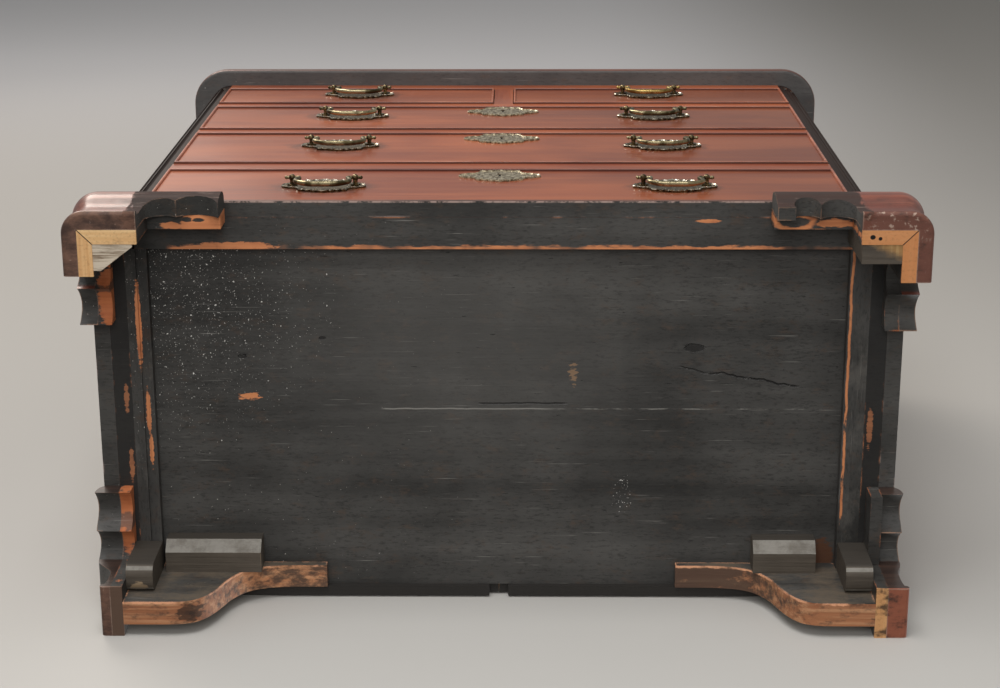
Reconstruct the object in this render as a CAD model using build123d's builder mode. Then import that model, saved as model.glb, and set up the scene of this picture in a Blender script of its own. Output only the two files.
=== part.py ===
from build123d import *
import os

os.makedirs("parts", exist_ok=True)

# An antique chest of drawers: two short drawers over three long ones, fluted quarter columns
# at the front corners, a moulded base and ogee bracket feet. It stands upright with its front
# towards -Y, +X to the right as seen from the front, and the origin on the floor under it.

# Case
carcase_width = 860.0
carcase_depth = 455.0
case_bottom = 97.0
side_thickness = 20.0
column_radius = 32.0
plinth_height = 36.0
plinth_corner = 6.0
flute_radius = 3.6
flute_top_margin = 14.0
flute_bottom_margin = 44.0
flute_count = 4
post_depth = 30.0
rail_depth = 62.0
bottom_rail_depth = 36.0
stile_width = 26.0
back_board_thickness = 12.0
back_recess = 2.0
back_rebate = 10.0
back_lift = 8.0
back_joint = 1.0
back_chip_width = 22.0
back_chip_height = 10.0

# Top board
top_thickness = 20.0
top_front_overhang = 22.0
top_side_overhang = 24.0
top_corner_radius = 50.0
top_nosing = 9.0
top_under_nosing = 4.0

# Rows of drawers, from the lowest up, each with the rail above it
bottom_rail_height = 33.0
lower_front_height = 196.0
lower_rail_height = 36.0
middle_front_height = 176.0
middle_rail_height = 27.0
upper_front_height = 150.0
upper_rail_height = 27.0
short_front_height = 107.0
top_rail_height = 34.0
running_gap = 0.3
head_gap = 1.7
side_gap = 1.0

# Frame inside the case
bottom_recess = 15.0
bottom_board_thickness = 12.0
strip_width = 12.0
left_strip_lift = 3.0
runner_width = 20.0
guide_height = 20.0
dust_board_thickness = 8.0
stop_width = 50.0
stop_depth = 12.0
stop_height = 4.0
stop_from_middle = 150.0

# Base moulding
moulding_height = 28.0
moulding_reach = 18.0
moulding_fillet = 6.0
moulding_top_reach = 4.0
moulding_top_fillet = 3.0
moulding_curve_share = 0.55
glue_gap = 0.2

# Ogee bracket feet, as distances outside the faces of the case
foot_bulge = 32.5
foot_bulge_height = 76.0
foot_crown = 20.0
foot_waist = 24.0
foot_waist_height = 35.0
foot_lip = 30.0
foot_nose = 4.5
foot_seat = 10.2
foot_side_seat = 9.0
foot_side_inset = 4.0
foot_corner_radius = 28.0
liner_thickness = 15.5
rear_foot_bulge = 24.8
left_rear_lip = 10.0
left_rear_seat = -2.0
right_rear_lip = 23.5
right_rear_seat = 0.0
rear_liner_thickness = 13.0
curve_ease_share = 0.45

# Scrolled wings of the feet: lengths run inwards from the foot's outer corner, heights up from the floor
left_front_toe = 82.0
right_front_toe = 78.0
front_cusp = 115.0
front_wing = 161.0
right_front_scroll_end = 142.0
left_side_toe = 73.0
left_side_cusp = 106.0
left_side_wing = 149.0
right_side_toe = 79.0
right_side_cusp = 112.0
right_side_wing = 155.0
rear_toe = 59.0
rear_cusp = 96.0
rear_wing = 141.0
left_front_rise = 44.0
left_front_first_crown = 60.0
left_front_cusp_height = 56.0
left_front_second_crown = 65.0
left_front_tail = 51.0
right_front_rise = 40.0
right_front_first_crown = 58.0
right_front_cusp_height = 47.0
right_front_second_crown = 62.0
right_front_tail = 42.0
side_rise = 76.0
side_crown = 86.0
side_cusp_height = 70.0
side_tail = 75.0
flat_liner_height = 65.0

# Plain brackets behind the rear feet, and the glue blocks
bracket_thickness = 27.0
left_bracket_reach = 232.0
right_bracket_reach = 226.5
bracket_tail_height = 10.0
bracket_toe = 37.0
bracket_shoulder_share = 0.50
bracket_rise_share = 0.62
front_block_width = 42.0
front_block_lift = 1.0
front_block_end = 3.0
left_block_depth = 29.0
left_block_far_end = 8.0
right_block_depth = 21.0
rear_block_width = 30.0
rear_block_depth = 32.0
rear_block_lift = 25.0
rear_block_round = 12.0
rear_strip_depth = 36.0
rear_strip_height = 30.0
rear_strip_chamfer = 12.0
left_strip_from_side = 50.0
left_strip_length = 109.0
right_strip_from_side = 69.0
right_strip_length = 71.0

# Drawers
front_thickness = 22.0
bead_width = 3.2
bead_proud = 3.0
bead_depth = 9.5
bead_nose = 1.5
lap_thickness = 12.0
box_board = 10.0
box_back_gap = 16.0
side_drop = 6.0
back_drop = 14.0
drawer_bottom_lift = 5.0
drawer_bottom_thickness = 7.0
groove_depth = 4.0
tail_pitch = 36.0
tail_tip_share = 0.88
tail_root_share = 0.70
joint_gap = 0.1

# Pulls: a pierced back plate, two posts and a bail
long_pull_x = 203.0
pull_above_middle = 13.0
pivot_above_plate = 3.0
plate_width = 98.0
plate_height = 58.0
plate_thickness = 2.0
post_spacing = 73.0
post_reach = 10.5
post_ball_radius = 4.0
post_neck_radius = 2.7
post_collar_radius = 6.0
post_collar_thickness = 1.6
shank_radius = 2.4
nut_width = 10.0
nut_thickness = 4.0
bail_end_radius = 2.1
bail_middle_radius = 3.2
bail_pin_radius = 1.8
bail_pin_clearance = 0.15
bail_end_gap = 0.4
bail_knob_radius = 2.2
bail_drop = 33.0

# Outline of a plate, clockwise from its top: shares of half its width and half its height,
# then how far the arc to the next point bulges outwards, as a share of half its height
plate_outline_shares = (
    (0.00, 1.00, 0.02),
    (0.15, 0.87, 0.08),
    (0.32, 0.80, 0.08),
    (0.50, 0.82, -0.10),
    (0.68, 0.38, 0.06),
    (0.83, 0.26, 0.09),
    (1.00, 0.02, 0.08),
    (0.86, -0.24, 0.05),
    (0.70, -0.34, -0.07),
    (0.58, -0.64, 0.07),
    (0.43, -0.71, 0.08),
    (0.29, -0.79, 0.08),
    (0.15, -0.89, 0.02),
    (0.00, -1.00, 0.00),
)
# Corners of a bail's path, as shares of half the post spacing and of the drop, each with the
# radius that rounds it as a share of the drop
bail_path_shares = (
    (0.72, 0.00, 0.10),
    (0.92, 0.60, 0.38),
    (0.46, 1.00, 0.60),
)

# Locks of the long drawers
escutcheon_width = 97.0
escutcheon_height = 55.0
escutcheon_thickness = 1.5
escutcheon_drop = 5.0
keyhole_drop = 25.0
keyhole_radius = 3.2
key_slot_width = 2.8
key_slot_length = 12.0
lock_width = 60.0
lock_height = 45.0
lock_pocket_depth = 11.0
lock_wall = 1.6
lock_gap = 0.2
bolt_width = 24.0
bolt_thickness = 5.0
bolt_height = 26.0
bolt_travel = 8.0
mortise_clearance = 1.0

overrun = 10.0

# Places worked out from the sizes
half_width = carcase_width / 2
front_y = (foot_bulge - carcase_depth) / 2
back_y = front_y + carcase_depth
side_inner = half_width - side_thickness
column_x = half_width - column_radius
column_y = front_y + column_radius
rail_back = front_y + rail_depth
bottom_rail_back = front_y + bottom_rail_depth
back_inner = back_y - back_recess - back_board_thickness
foot_corner_x = half_width - foot_side_inset + foot_bulge
foot_corner_y = front_y - foot_bulge
board_low = case_bottom + bottom_recess
board_high = board_low + bottom_board_thickness
rows = []
shelf = case_bottom + bottom_rail_height
for row_height, rail_height in (
    (lower_front_height, lower_rail_height),
    (middle_front_height, middle_rail_height),
    (upper_front_height, upper_rail_height),
    (short_front_height, top_rail_height),
):
    head = shelf + running_gap + row_height + head_gap
    rows.append((shelf, head, rail_height))
    shelf = head + rail_height
top_low = shelf
short_shelf, short_head, _ = rows[-1]
right_liner_inner = half_width + right_rear_seat - rear_liner_thickness
left_liner_inner = half_width + left_rear_seat - rear_liner_thickness
bracket_front = back_inner - bracket_thickness
left_bracket_inner_x = half_width - left_bracket_reach
right_bracket_inner_x = half_width - right_bracket_reach
left_strip_outer_x = half_width - left_strip_from_side
left_strip_inner_x = left_strip_outer_x - left_strip_length
right_strip_outer_x = half_width - right_strip_from_side
right_strip_inner_x = right_strip_outer_x - right_strip_length
runner_front = column_y + max(post_depth, rail_depth - column_radius)
box_length = back_inner - front_y - box_back_gap
nut_depth = front_thickness + joint_gap


def save(piece, name):
    """Label a finished piece and write it."""
    piece.part.label = name
    export_step(piece.part, f"parts/{name}.step")


def block(x_span, y_span, z_span, mode=Mode.ADD):
    """A box between two values on each axis."""
    x_low, x_high = sorted(x_span)
    y_low, y_high = sorted(y_span)
    z_low, z_high = sorted(z_span)
    with Locations((x_low, y_low, z_low)):
        Box(x_high - x_low, y_high - y_low, z_high - z_low, align=(Align.MIN,) * 3, mode=mode)


def facing(depth):
    """The plane a depth behind the face of the fronts, looking forwards, with Z up."""
    return Plane.XZ.offset(-(front_y + depth))


def standing(origin, across):
    """An upright plane whose first direction is across and whose second is up."""
    return Plane(origin=origin, x_dir=across, z_dir=Vector(across).cross(Vector(0, 0, 1)))


# Case

with BuildPart() as top_board:
    top_front = front_y - top_front_overhang
    top_half = half_width + top_side_overhang
    with BuildSketch(Plane.XY.offset(top_low)) as top_outline:
        with Locations((0, (top_front + back_y) / 2)):
            Rectangle(top_half * 2, back_y - top_front)
        fillet(top_outline.vertices().group_by(Axis.Y)[0], radius=top_corner_radius)
    extrude(amount=top_thickness)
    upper_edges = top_board.faces().sort_by(Axis.Z)[-1].edges().sort_by(Axis.Y)[:-1]
    fillet(upper_edges, radius=top_nosing)
    lower_edges = top_board.faces().sort_by(Axis.Z)[0].edges().sort_by(Axis.Y)[:-1]
    fillet(lower_edges, radius=top_under_nosing)
save(top_board, "top_board")

with BuildPart() as right_side:
    block((side_inner, half_width), (column_y, back_y), (case_bottom, top_low))
    block(
        (side_inner, side_inner + back_rebate),
        (back_inner, back_y + overrun),
        (case_bottom - overrun, top_low + overrun),
        mode=Mode.SUBTRACT,
    )
save(right_side, "right_side")

with BuildPart() as left_side:
    mirror(right_side.part, about=Plane.YZ)
save(left_side, "left_side")

# Each column is a quarter of a fluted cylinder, with its axis at the inner back corner. It stands
# on a square plinth that the moulding runs round.
with BuildPart() as quarter_columns:
    with BuildSketch(Plane.XY.offset(case_bottom)) as quarter:
        with BuildLine():
            Line((column_x, column_y), (half_width, column_y))
            RadiusArc((half_width, column_y), (column_x, front_y), column_radius)
            Line((column_x, front_y), (column_x, column_y))
        make_face()
    extrude(amount=top_low - case_bottom)
    with BuildSketch(Plane.XY.offset(case_bottom)) as plinth:
        with Locations((column_x, column_y)):
            Rectangle(column_radius, column_radius, align=(Align.MIN, Align.MAX))
        outer_corner = plinth.vertices().sort_by(Axis.X)[-2:].sort_by(Axis.Y)[0]
        fillet(outer_corner, radius=plinth_corner)
    extrude(amount=plinth_height)
    flute_low = case_bottom + flute_bottom_margin
    flute_high = top_low - flute_top_margin
    with Locations((column_x, column_y, flute_low)):
        with PolarLocations(
            column_radius,
            flute_count,
            start_angle=-90 + 90 / (flute_count + 1),
            angular_range=90 * flute_count / (flute_count + 1),
        ):
            Cylinder(
                flute_radius,
                flute_high - flute_low,
                align=(Align.CENTER, Align.CENTER, Align.MIN),
                mode=Mode.SUBTRACT,
            )
            Sphere(flute_radius, mode=Mode.SUBTRACT)
    with Locations((column_x, column_y, flute_high)):
        with PolarLocations(
            column_radius,
            flute_count,
            start_angle=-90 + 90 / (flute_count + 1),
            angular_range=90 * flute_count / (flute_count + 1),
        ):
            Sphere(flute_radius, mode=Mode.SUBTRACT)
    mirror(about=Plane.YZ)
save(quarter_columns, "quarter_columns")

with BuildPart() as corner_posts:
    for side in (-1, 1):
        block(
            (side * column_x, side * side_inner),
            (column_y, column_y + post_depth),
            (rows[0][0], top_low),
        )
save(corner_posts, "corner_posts")

# A mortise in the rail over each long drawer takes the lock's bolt.
bolt_front = lock_pocket_depth + lock_gap + lock_wall
with BuildPart() as drawer_rails:
    block((-column_x, column_x), (front_y, bottom_rail_back), (case_bottom, rows[0][0]))
    for shelf_low, head_low, rail_height in rows:
        block((-column_x, column_x), (front_y, rail_back), (head_low, head_low + rail_height))
    for shelf_low, head_low, rail_height in rows[:-1]:
        block(
            (-bolt_width / 2 - mortise_clearance, bolt_width / 2 + mortise_clearance),
            (
                front_y + bolt_front - mortise_clearance,
                front_y + bolt_front + bolt_thickness + mortise_clearance,
            ),
            (head_low, head_low + bolt_travel),
            mode=Mode.SUBTRACT,
        )
save(drawer_rails, "drawer_rails")

with BuildPart() as centre_stile:
    block((-stile_width / 2, stile_width / 2), (front_y, rail_back), (short_shelf, short_head))
save(centre_stile, "centre_stile")

middle_runner_half = stile_width / 2 + runner_width
with BuildPart() as drawer_runners:
    for side in (-1, 1):
        block(
            (side * (column_x - runner_width), side * side_inner),
            (bottom_rail_back, back_inner),
            (board_high, rows[0][0]),
        )
        for shelf_low, head_low, rail_height in rows[:-1]:
            block(
                (side * (column_x - runner_width), side * side_inner),
                (runner_front, back_inner),
                (head_low, head_low + rail_height),
            )
    block(
        (-middle_runner_half, middle_runner_half),
        (rail_back, back_inner),
        (rows[-2][1], short_shelf),
    )
save(drawer_runners, "drawer_runners")

with BuildPart() as drawer_guides:
    for side in (-1, 1):
        for shelf_low, head_low, rail_height in rows:
            block(
                (side * column_x, side * side_inner),
                (runner_front, back_inner),
                (shelf_low, shelf_low + guide_height),
            )
        block(
            (side * (column_x - runner_width), side * side_inner),
            (runner_front, back_inner),
            (short_head, top_low),
        )
    block(
        (-stile_width / 2, stile_width / 2),
        (rail_back, back_inner),
        (short_shelf, short_shelf + guide_height),
    )
    block((-middle_runner_half, middle_runner_half), (rail_back, back_inner), (short_head, top_low))
save(drawer_guides, "drawer_guides")

stop_front = front_y + front_thickness + running_gap
with BuildPart() as drawer_stops:
    for shelf_low, head_low, rail_height in rows:
        for side in (-1, 1):
            block(
                (side * stop_from_middle, side * (stop_from_middle + stop_width)),
                (stop_front, stop_front + stop_depth),
                (shelf_low, shelf_low + stop_height),
            )
save(drawer_stops, "drawer_stops")

with BuildPart() as dust_boards:
    for index, (shelf_low, head_low, rail_height) in enumerate(rows[:-1]):
        board_z = head_low + (rail_height - dust_board_thickness) / 2
        inner = middle_runner_half if index == len(rows) - 2 else joint_gap / 2
        for side in (-1, 1):
            block(
                (side * inner, side * (column_x - runner_width)),
                (rail_back, back_inner),
                (board_z, board_z + dust_board_thickness),
            )
save(dust_boards, "dust_boards")

with BuildPart() as bottom_board:
    block((-side_inner, side_inner), (bottom_rail_back, back_inner), (board_low, board_high))
save(bottom_board, "bottom_board")

# A bearer lies under each edge of the bottom board, with a narrow strip beside it.
with BuildPart() as bottom_bearers:
    for side, strip_lift in ((-1, left_strip_lift), (1, 0)):
        block(
            (side * column_x, side * side_inner),
            (bottom_rail_back, back_inner),
            (case_bottom, board_low),
        )
        block(
            (side * (column_x - strip_width), side * (column_x - joint_gap)),
            (bottom_rail_back, back_inner),
            (case_bottom + strip_lift, board_low),
        )
save(bottom_bearers, "bottom_bearers")

with BuildPart() as back_boards:
    for side in (-1, 1):
        block(
            (side * back_joint / 2, side * (side_inner + back_rebate)),
            (back_inner, back_inner + back_board_thickness),
            (case_bottom + back_lift, top_low),
        )
    block(
        (-back_chip_width / 2, back_chip_width / 2),
        (back_inner - overrun, back_y + overrun),
        (case_bottom - overrun, case_bottom + back_lift + back_chip_height),
        mode=Mode.SUBTRACT,
    )
save(back_boards, "back_boards")


def moulding_section(plane):
    """The base moulding's section: a fillet, an ogee curve and a small top fillet."""
    curve_low = moulding_fillet
    curve_high = moulding_height - moulding_top_fillet
    ease = (curve_high - curve_low) * moulding_curve_share
    with BuildSketch(plane) as section:
        with BuildLine():
            Polyline((glue_gap, 0), (moulding_reach, 0), (moulding_reach, curve_low))
            Bezier(
                (moulding_reach, curve_low),
                (moulding_reach, curve_low + ease),
                (moulding_top_reach, curve_high - ease),
                (moulding_top_reach, curve_high),
            )
            Polyline(
                (moulding_top_reach, curve_high),
                (moulding_top_reach, moulding_height),
                (glue_gap, moulding_height),
                (glue_gap, 0),
            )
        make_face()
    return section.sketch


# The front run turns both rounded corners, and a straight run follows along each side.
turn_x = half_width - plinth_corner
turn_y = front_y + plinth_corner
with BuildPart() as base_moulding:
    with BuildLine(Plane.XY.offset(case_bottom)) as front_run:
        Line((half_width, column_y), (half_width, turn_y))
        RadiusArc((half_width, turn_y), (turn_x, front_y), plinth_corner)
        Line((turn_x, front_y), (-turn_x, front_y))
        RadiusArc((-turn_x, front_y), (-half_width, turn_y), plinth_corner)
        Line((-half_width, turn_y), (-half_width, column_y))
    sweep(moulding_section(standing((half_width, column_y, case_bottom), (1, 0, 0))), path=front_run.line)
    for side in (-1, 1):
        run_start = standing((side * half_width, column_y + joint_gap, case_bottom), (side, 0, 0))
        extrude(
            moulding_section(run_start),
            amount=-side * (back_y - column_y - joint_gap),
        )
save(base_moulding, "base_moulding")


# Feet

def ogee_section(plane, reach, inner, lip):
    """A foot's section, from its rounded lip through the waist and the bulge to its crown."""
    waist = reach + lip - (foot_lip - foot_waist)
    bulge = reach + foot_bulge
    nose_x = reach + lip - foot_nose
    nose_top = foot_nose * 2
    waist_ease = (foot_waist_height - nose_top) * curve_ease_share
    swell_ease = (foot_bulge_height - foot_waist_height) * curve_ease_share
    crown_ease = (case_bottom - foot_bulge_height) * curve_ease_share
    with BuildSketch(plane) as section:
        with BuildLine():
            Polyline((inner, case_bottom), (inner, 0), (nose_x, 0))
            ThreePointArc((nose_x, 0), (nose_x + foot_nose, foot_nose), (nose_x, nose_top))
            Bezier(
                (nose_x, nose_top),
                (waist, nose_top + waist_ease),
                (waist, foot_waist_height - waist_ease),
                (waist, foot_waist_height),
            )
            Bezier(
                (waist, foot_waist_height),
                (waist, foot_waist_height + swell_ease),
                (bulge, foot_bulge_height - swell_ease),
                (bulge, foot_bulge_height),
            )
            Bezier(
                (bulge, foot_bulge_height),
                (bulge, foot_bulge_height + crown_ease),
                (reach + foot_crown + crown_ease, case_bottom),
                (reach + foot_crown, case_bottom),
            )
            Line((reach + foot_crown, case_bottom), (inner, case_bottom))
        make_face()
    return section.sketch


def cut_scroll(origin, inward, lengths, heights, through):
    """Cut the two arches of a wing, given by their lengths and heights, and the flat tail after them."""
    toe, cusp, scroll, wing = lengths
    rise, crown, cusp_rise, second_crown, tail = heights
    with BuildSketch(standing(origin, inward)) as arches:
        with BuildLine():
            Polyline(
                (scroll, tail),
                (wing + overrun, tail),
                (wing + overrun, -overrun),
                (toe, -overrun),
                (toe, rise),
            )
            ThreePointArc((toe, rise), ((toe + cusp) / 2, crown), (cusp, cusp_rise))
            ThreePointArc((cusp, cusp_rise), ((cusp + scroll) / 2, second_crown), (scroll, tail))
        make_face()
    extrude(arches.sketch, amount=through, mode=Mode.SUBTRACT)


left_front_scroll = (
    (left_front_toe, front_cusp, front_wing, front_wing),
    (
        left_front_rise,
        left_front_first_crown,
        left_front_cusp_height,
        left_front_second_crown,
        left_front_tail,
    ),
)
right_front_scroll = (
    (right_front_toe, front_cusp, right_front_scroll_end, front_wing),
    (
        right_front_rise,
        right_front_first_crown,
        right_front_cusp_height,
        right_front_second_crown,
        right_front_tail,
    ),
)
side_heights = (side_rise, side_crown, side_cusp_height, side_crown, side_tail)
left_side_lengths = (left_side_toe, left_side_cusp, left_side_wing, left_side_wing)
right_side_lengths = (right_side_toe, right_side_cusp, right_side_wing, right_side_wing)
scroll_through = foot_bulge + liner_thickness + overrun * 2
front_wing_end = foot_corner_x - front_wing


def cut_side_scroll(side_lengths):
    """Cut the arches in the side wing of a right front foot, through its liner too."""
    start_x = foot_corner_x + overrun - scroll_through
    cut_scroll((start_x, foot_corner_y, 0), (0, 1, 0), side_lengths, side_heights, scroll_through)


def front_foot(front_scroll, side_lengths):
    """A right front foot: a turned corner with an ogee wing along the front and one along the side."""
    corner_x = foot_corner_x - foot_corner_radius
    corner_y = foot_corner_y + foot_corner_radius
    side_wing_end = foot_corner_y + side_lengths[-1]
    with BuildPart() as foot:
        corner_plane = standing((corner_x, corner_y, 0), (0, -1, 0))
        corner_section = ogee_section(corner_plane, foot_corner_radius - foot_bulge, 0, foot_lip)
        revolve(corner_section, axis=Axis((corner_x, corner_y, 0), (0, 0, 1)), revolution_arc=90)
        block(
            (corner_x - overrun, half_width + foot_side_seat),
            (front_y - foot_seat, corner_y + overrun),
            (-overrun, case_bottom + overrun),
            mode=Mode.SUBTRACT,
        )
        front_plane = standing((corner_x, front_y, 0), (0, -1, 0))
        extrude(ogee_section(front_plane, 0, foot_seat, foot_lip), amount=corner_x - front_wing_end)
        side_plane = standing((half_width, corner_y, 0), (1, 0, 0))
        side_section = ogee_section(side_plane, -foot_side_inset, foot_side_seat, foot_lip)
        extrude(side_section, amount=corner_y - side_wing_end)
        start_y = foot_corner_y - overrun
        cut_scroll((foot_corner_x, start_y, 0), (-1, 0, 0), *front_scroll, scroll_through)
        cut_side_scroll(side_lengths)
    return foot.part


with BuildPart() as right_front_foot:
    add(front_foot(right_front_scroll, right_side_lengths))
save(right_front_foot, "right_front_foot")

with BuildPart() as left_front_foot:
    mirror(front_foot(left_front_scroll, left_side_lengths), about=Plane.YZ)
save(left_front_foot, "left_front_foot")


def cut_rear_scroll():
    """Cut the arches of a right rear foot."""
    start_x = half_width + foot_bulge + overrun
    rear_lengths = (rear_toe, rear_cusp, rear_wing, rear_wing)
    cut_scroll((start_x, back_y, 0), (0, -1, 0), rear_lengths, side_heights, scroll_through)


def rear_foot(seat, lip):
    """The facing of a right rear foot, seated a distance outside the case."""
    reach = rear_foot_bulge - foot_bulge
    with BuildPart() as foot:
        rear_plane = standing((half_width, back_y, 0), (1, 0, 0))
        extrude(ogee_section(rear_plane, reach, seat, lip - reach), amount=rear_wing)
        cut_rear_scroll()
    return foot.part


with BuildPart() as right_rear_foot:
    add(rear_foot(right_rear_seat, right_rear_lip))
save(right_rear_foot, "right_rear_foot_facing")

with BuildPart() as left_rear_foot:
    mirror(rear_foot(left_rear_seat, left_rear_lip), about=Plane.YZ)
save(left_rear_foot, "left_rear_foot_facing")

# Pine liners back the wings, with a mitre at each front corner. The front ones end below in a straight
# edge, and so does the right rear one.
seat_x = half_width + foot_side_seat
seat_y = front_y - foot_seat
liner_x = seat_x - liner_thickness
liner_y = seat_y + liner_thickness


def front_liners(front_toe, side_lengths):
    """The two liners of a right front foot."""
    side_wing_end = foot_corner_y + side_lengths[-1]
    with BuildPart() as liners:
        with BuildSketch(Plane.XY) as front_plan:
            with BuildLine():
                Polyline(
                    (seat_x, seat_y),
                    (liner_x, liner_y),
                    (front_wing_end, liner_y),
                    (front_wing_end, seat_y),
                    close=True,
                )
            make_face()
        extrude(front_plan.sketch, amount=case_bottom)
        block(
            (front_wing_end - overrun, foot_corner_x - front_toe),
            (seat_y - overrun, liner_y + overrun),
            (-overrun, flat_liner_height),
            mode=Mode.SUBTRACT,
        )
        with BuildSketch(Plane.XY) as side_plan:
            with BuildLine():
                Polyline(
                    (seat_x, seat_y + joint_gap),
                    (liner_x, liner_y + joint_gap),
                    (liner_x, side_wing_end),
                    (seat_x, side_wing_end),
                    close=True,
                )
            make_face()
        extrude(side_plan.sketch, amount=case_bottom)
        cut_side_scroll(side_lengths)
    return liners.part


with BuildPart() as mirrored_rear_liner:
    block((left_liner_inner, half_width + left_rear_seat), (back_y - rear_wing, back_y), (0, case_bottom))
    cut_rear_scroll()
with BuildPart() as foot_liners:
    add(front_liners(right_front_toe, right_side_lengths))
    mirror(front_liners(left_front_toe, left_side_lengths), about=Plane.YZ)
    block(
        (right_liner_inner, half_width + right_rear_seat),
        (back_y - rear_toe, back_y),
        (0, case_bottom),
    )
    block(
        (right_liner_inner, half_width + right_rear_seat),
        (back_y - rear_wing, back_y - rear_toe),
        (flat_liner_height, case_bottom),
    )
    mirror(mirrored_rear_liner.part, about=Plane.YZ)
save(foot_liners, "foot_liners")


def rear_bracket(outer_x, inner_x):
    """A right rear bracket: its lower edge sweeps up from the toe in an ogee curve."""
    toe_x = outer_x - bracket_toe
    turn_x = outer_x - (outer_x - inner_x) * bracket_shoulder_share
    turn_z = case_bottom * bracket_rise_share
    tail_z = board_low - bracket_tail_height
    lower_ease = (toe_x - turn_x) * (1 - curve_ease_share)
    notch_x = column_x - strip_width - joint_gap
    with BuildSketch(facing(back_inner - front_y)) as outline:
        with BuildLine():
            Line((outer_x, 0), (toe_x, 0))
            Bezier((toe_x, 0), (toe_x - lower_ease, 0), (turn_x + lower_ease / 2, 0), (turn_x, turn_z))
            Bezier(
                (turn_x, turn_z),
                (turn_x - lower_ease / 2, tail_z),
                (turn_x - lower_ease, tail_z),
                (inner_x, tail_z),
            )
            Polyline(
                (inner_x, tail_z),
                (inner_x, board_low),
                (notch_x, board_low),
                (notch_x, case_bottom),
                (outer_x, case_bottom),
                (outer_x, 0),
            )
        make_face()
    return outline.sketch


with BuildPart() as left_bracket:
    extrude(rear_bracket(left_liner_inner, left_bracket_inner_x), amount=bracket_thickness)
with BuildPart() as rear_brackets:
    extrude(rear_bracket(right_liner_inner, right_bracket_inner_x), amount=bracket_thickness)
    mirror(left_bracket.part, about=Plane.YZ)
save(rear_brackets, "rear_brackets")


def glue_blocks_of(side, liner_inner, strip_outer, strip_inner, front_depth, far_end):
    """The blocks of one side: behind the front foot, behind the rear foot, and along the bracket."""
    with BuildSketch(Plane.XY.offset(front_block_lift)) as front_block:
        with BuildLine():
            Polyline(
                (side * liner_x, liner_y),
                (side * (liner_x - front_block_width), liner_y),
                (side * (liner_x - front_block_width), liner_y + front_block_end),
                (side * (liner_x - far_end), liner_y + front_depth),
                (side * liner_x, liner_y + front_depth),
                close=True,
            )
        make_face()
    extrude(front_block.sketch, amount=case_bottom - front_block_lift)
    block(
        (side * (liner_inner - rear_block_width), side * liner_inner),
        (bracket_front - rear_block_depth, bracket_front),
        (rear_block_lift, case_bottom),
    )
    strip_front = bracket_front - rear_strip_depth
    strip_low = board_low - rear_strip_height
    with BuildSketch(Plane.YZ.offset(side * strip_inner)) as strip:
        with BuildLine():
            Polyline(
                (bracket_front, board_low),
                (strip_front, board_low),
                (strip_front, strip_low + rear_strip_chamfer),
                (strip_front + rear_strip_chamfer, strip_low),
                (bracket_front, strip_low),
                close=True,
            )
        make_face()
    extrude(strip.sketch, amount=side * (strip_outer - strip_inner))


with BuildPart() as glue_blocks:
    glue_blocks_of(
        -1, left_liner_inner, left_strip_outer_x, left_strip_inner_x, left_block_depth, left_block_far_end
    )
    glue_blocks_of(
        1, right_liner_inner, right_strip_outer_x, right_strip_inner_x, right_block_depth, front_block_width
    )
    lower_ends = glue_blocks.edges().filter_by(Axis.X).filter_by(
        lambda edge: abs(edge.center().Z - rear_block_lift) < joint_gap
    )
    fillet(lower_ends, radius=min(rear_block_round, rear_block_depth / 2 - joint_gap))
save(glue_blocks, "glue_blocks")


# Drawers

def bores(places, radius, near, far, mode=Mode.SUBTRACT):
    """Round holes or rods between two depths behind the face of the fronts."""
    with BuildSketch(facing(far)) as circles:
        with Locations(*places):
            Circle(radius)
    extrude(circles.sketch, amount=far - near, mode=mode)


def bulged(start, end, bulge):
    """The middle point of an arc that stands out a bulge to the left of its chord."""
    chord = Vector(end) - Vector(start)
    middle = (Vector(start) + Vector(end)) / 2
    return middle + Vector(-chord.Y, chord.X).normalized() * bulge


def plate_outline(centre, width, height):
    """A scalloped plate's outline on the face of a drawer front."""
    half_x = width / 2
    half_z = height / 2
    half = [(half_x * x, half_z * z, half_z * share) for x, z, share in plate_outline_shares]
    down = [(centre[0] + x, centre[1] + z) for x, z, _ in half]
    up = [(centre[0] - x, centre[1] + z) for x, z, _ in reversed(half)]
    bulges = [bulge for _, _, bulge in half[:-1]]
    points = down + up[1:]
    with BuildSketch(facing(0)) as outline:
        with BuildLine():
            for start, end, bulge in zip(points, points[1:], bulges + bulges[::-1]):
                ThreePointArc(start, bulged(start, end, bulge), end)
        make_face()
    return outline.sketch


def keyhole(middle_z, near, far):
    """Cut a keyhole, a round hole over a slot, between two depths."""
    with BuildSketch(facing(far)) as hole:
        with Locations((0, middle_z)):
            Circle(keyhole_radius)
            Rectangle(key_slot_width, key_slot_length, align=(Align.CENTER, Align.MAX))
    extrude(hole.sketch, amount=far - near, mode=Mode.SUBTRACT)


def tails(inner_x, side, low, high, mode):
    """The dovetails at the front end of a drawer side, widening towards the drawer front."""
    count = max(2, round((high - low) / tail_pitch))
    pitch = (high - low) / count
    tip = pitch * tail_tip_share / 2
    root = pitch * tail_root_share / 2
    tip_y = front_y + lap_thickness
    root_y = front_y + front_thickness
    with BuildSketch(Plane.YZ.offset(inner_x)) as outlines:
        for step in range(count):
            middle = low + pitch * (step + 1 / 2)
            with BuildLine():
                Polyline(
                    (root_y, middle - root),
                    (tip_y, middle - tip),
                    (tip_y, middle + tip),
                    (root_y, middle + root),
                    close=True,
                )
            make_face()
    extrude(outlines.sketch, amount=side * box_board, mode=mode)


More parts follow.
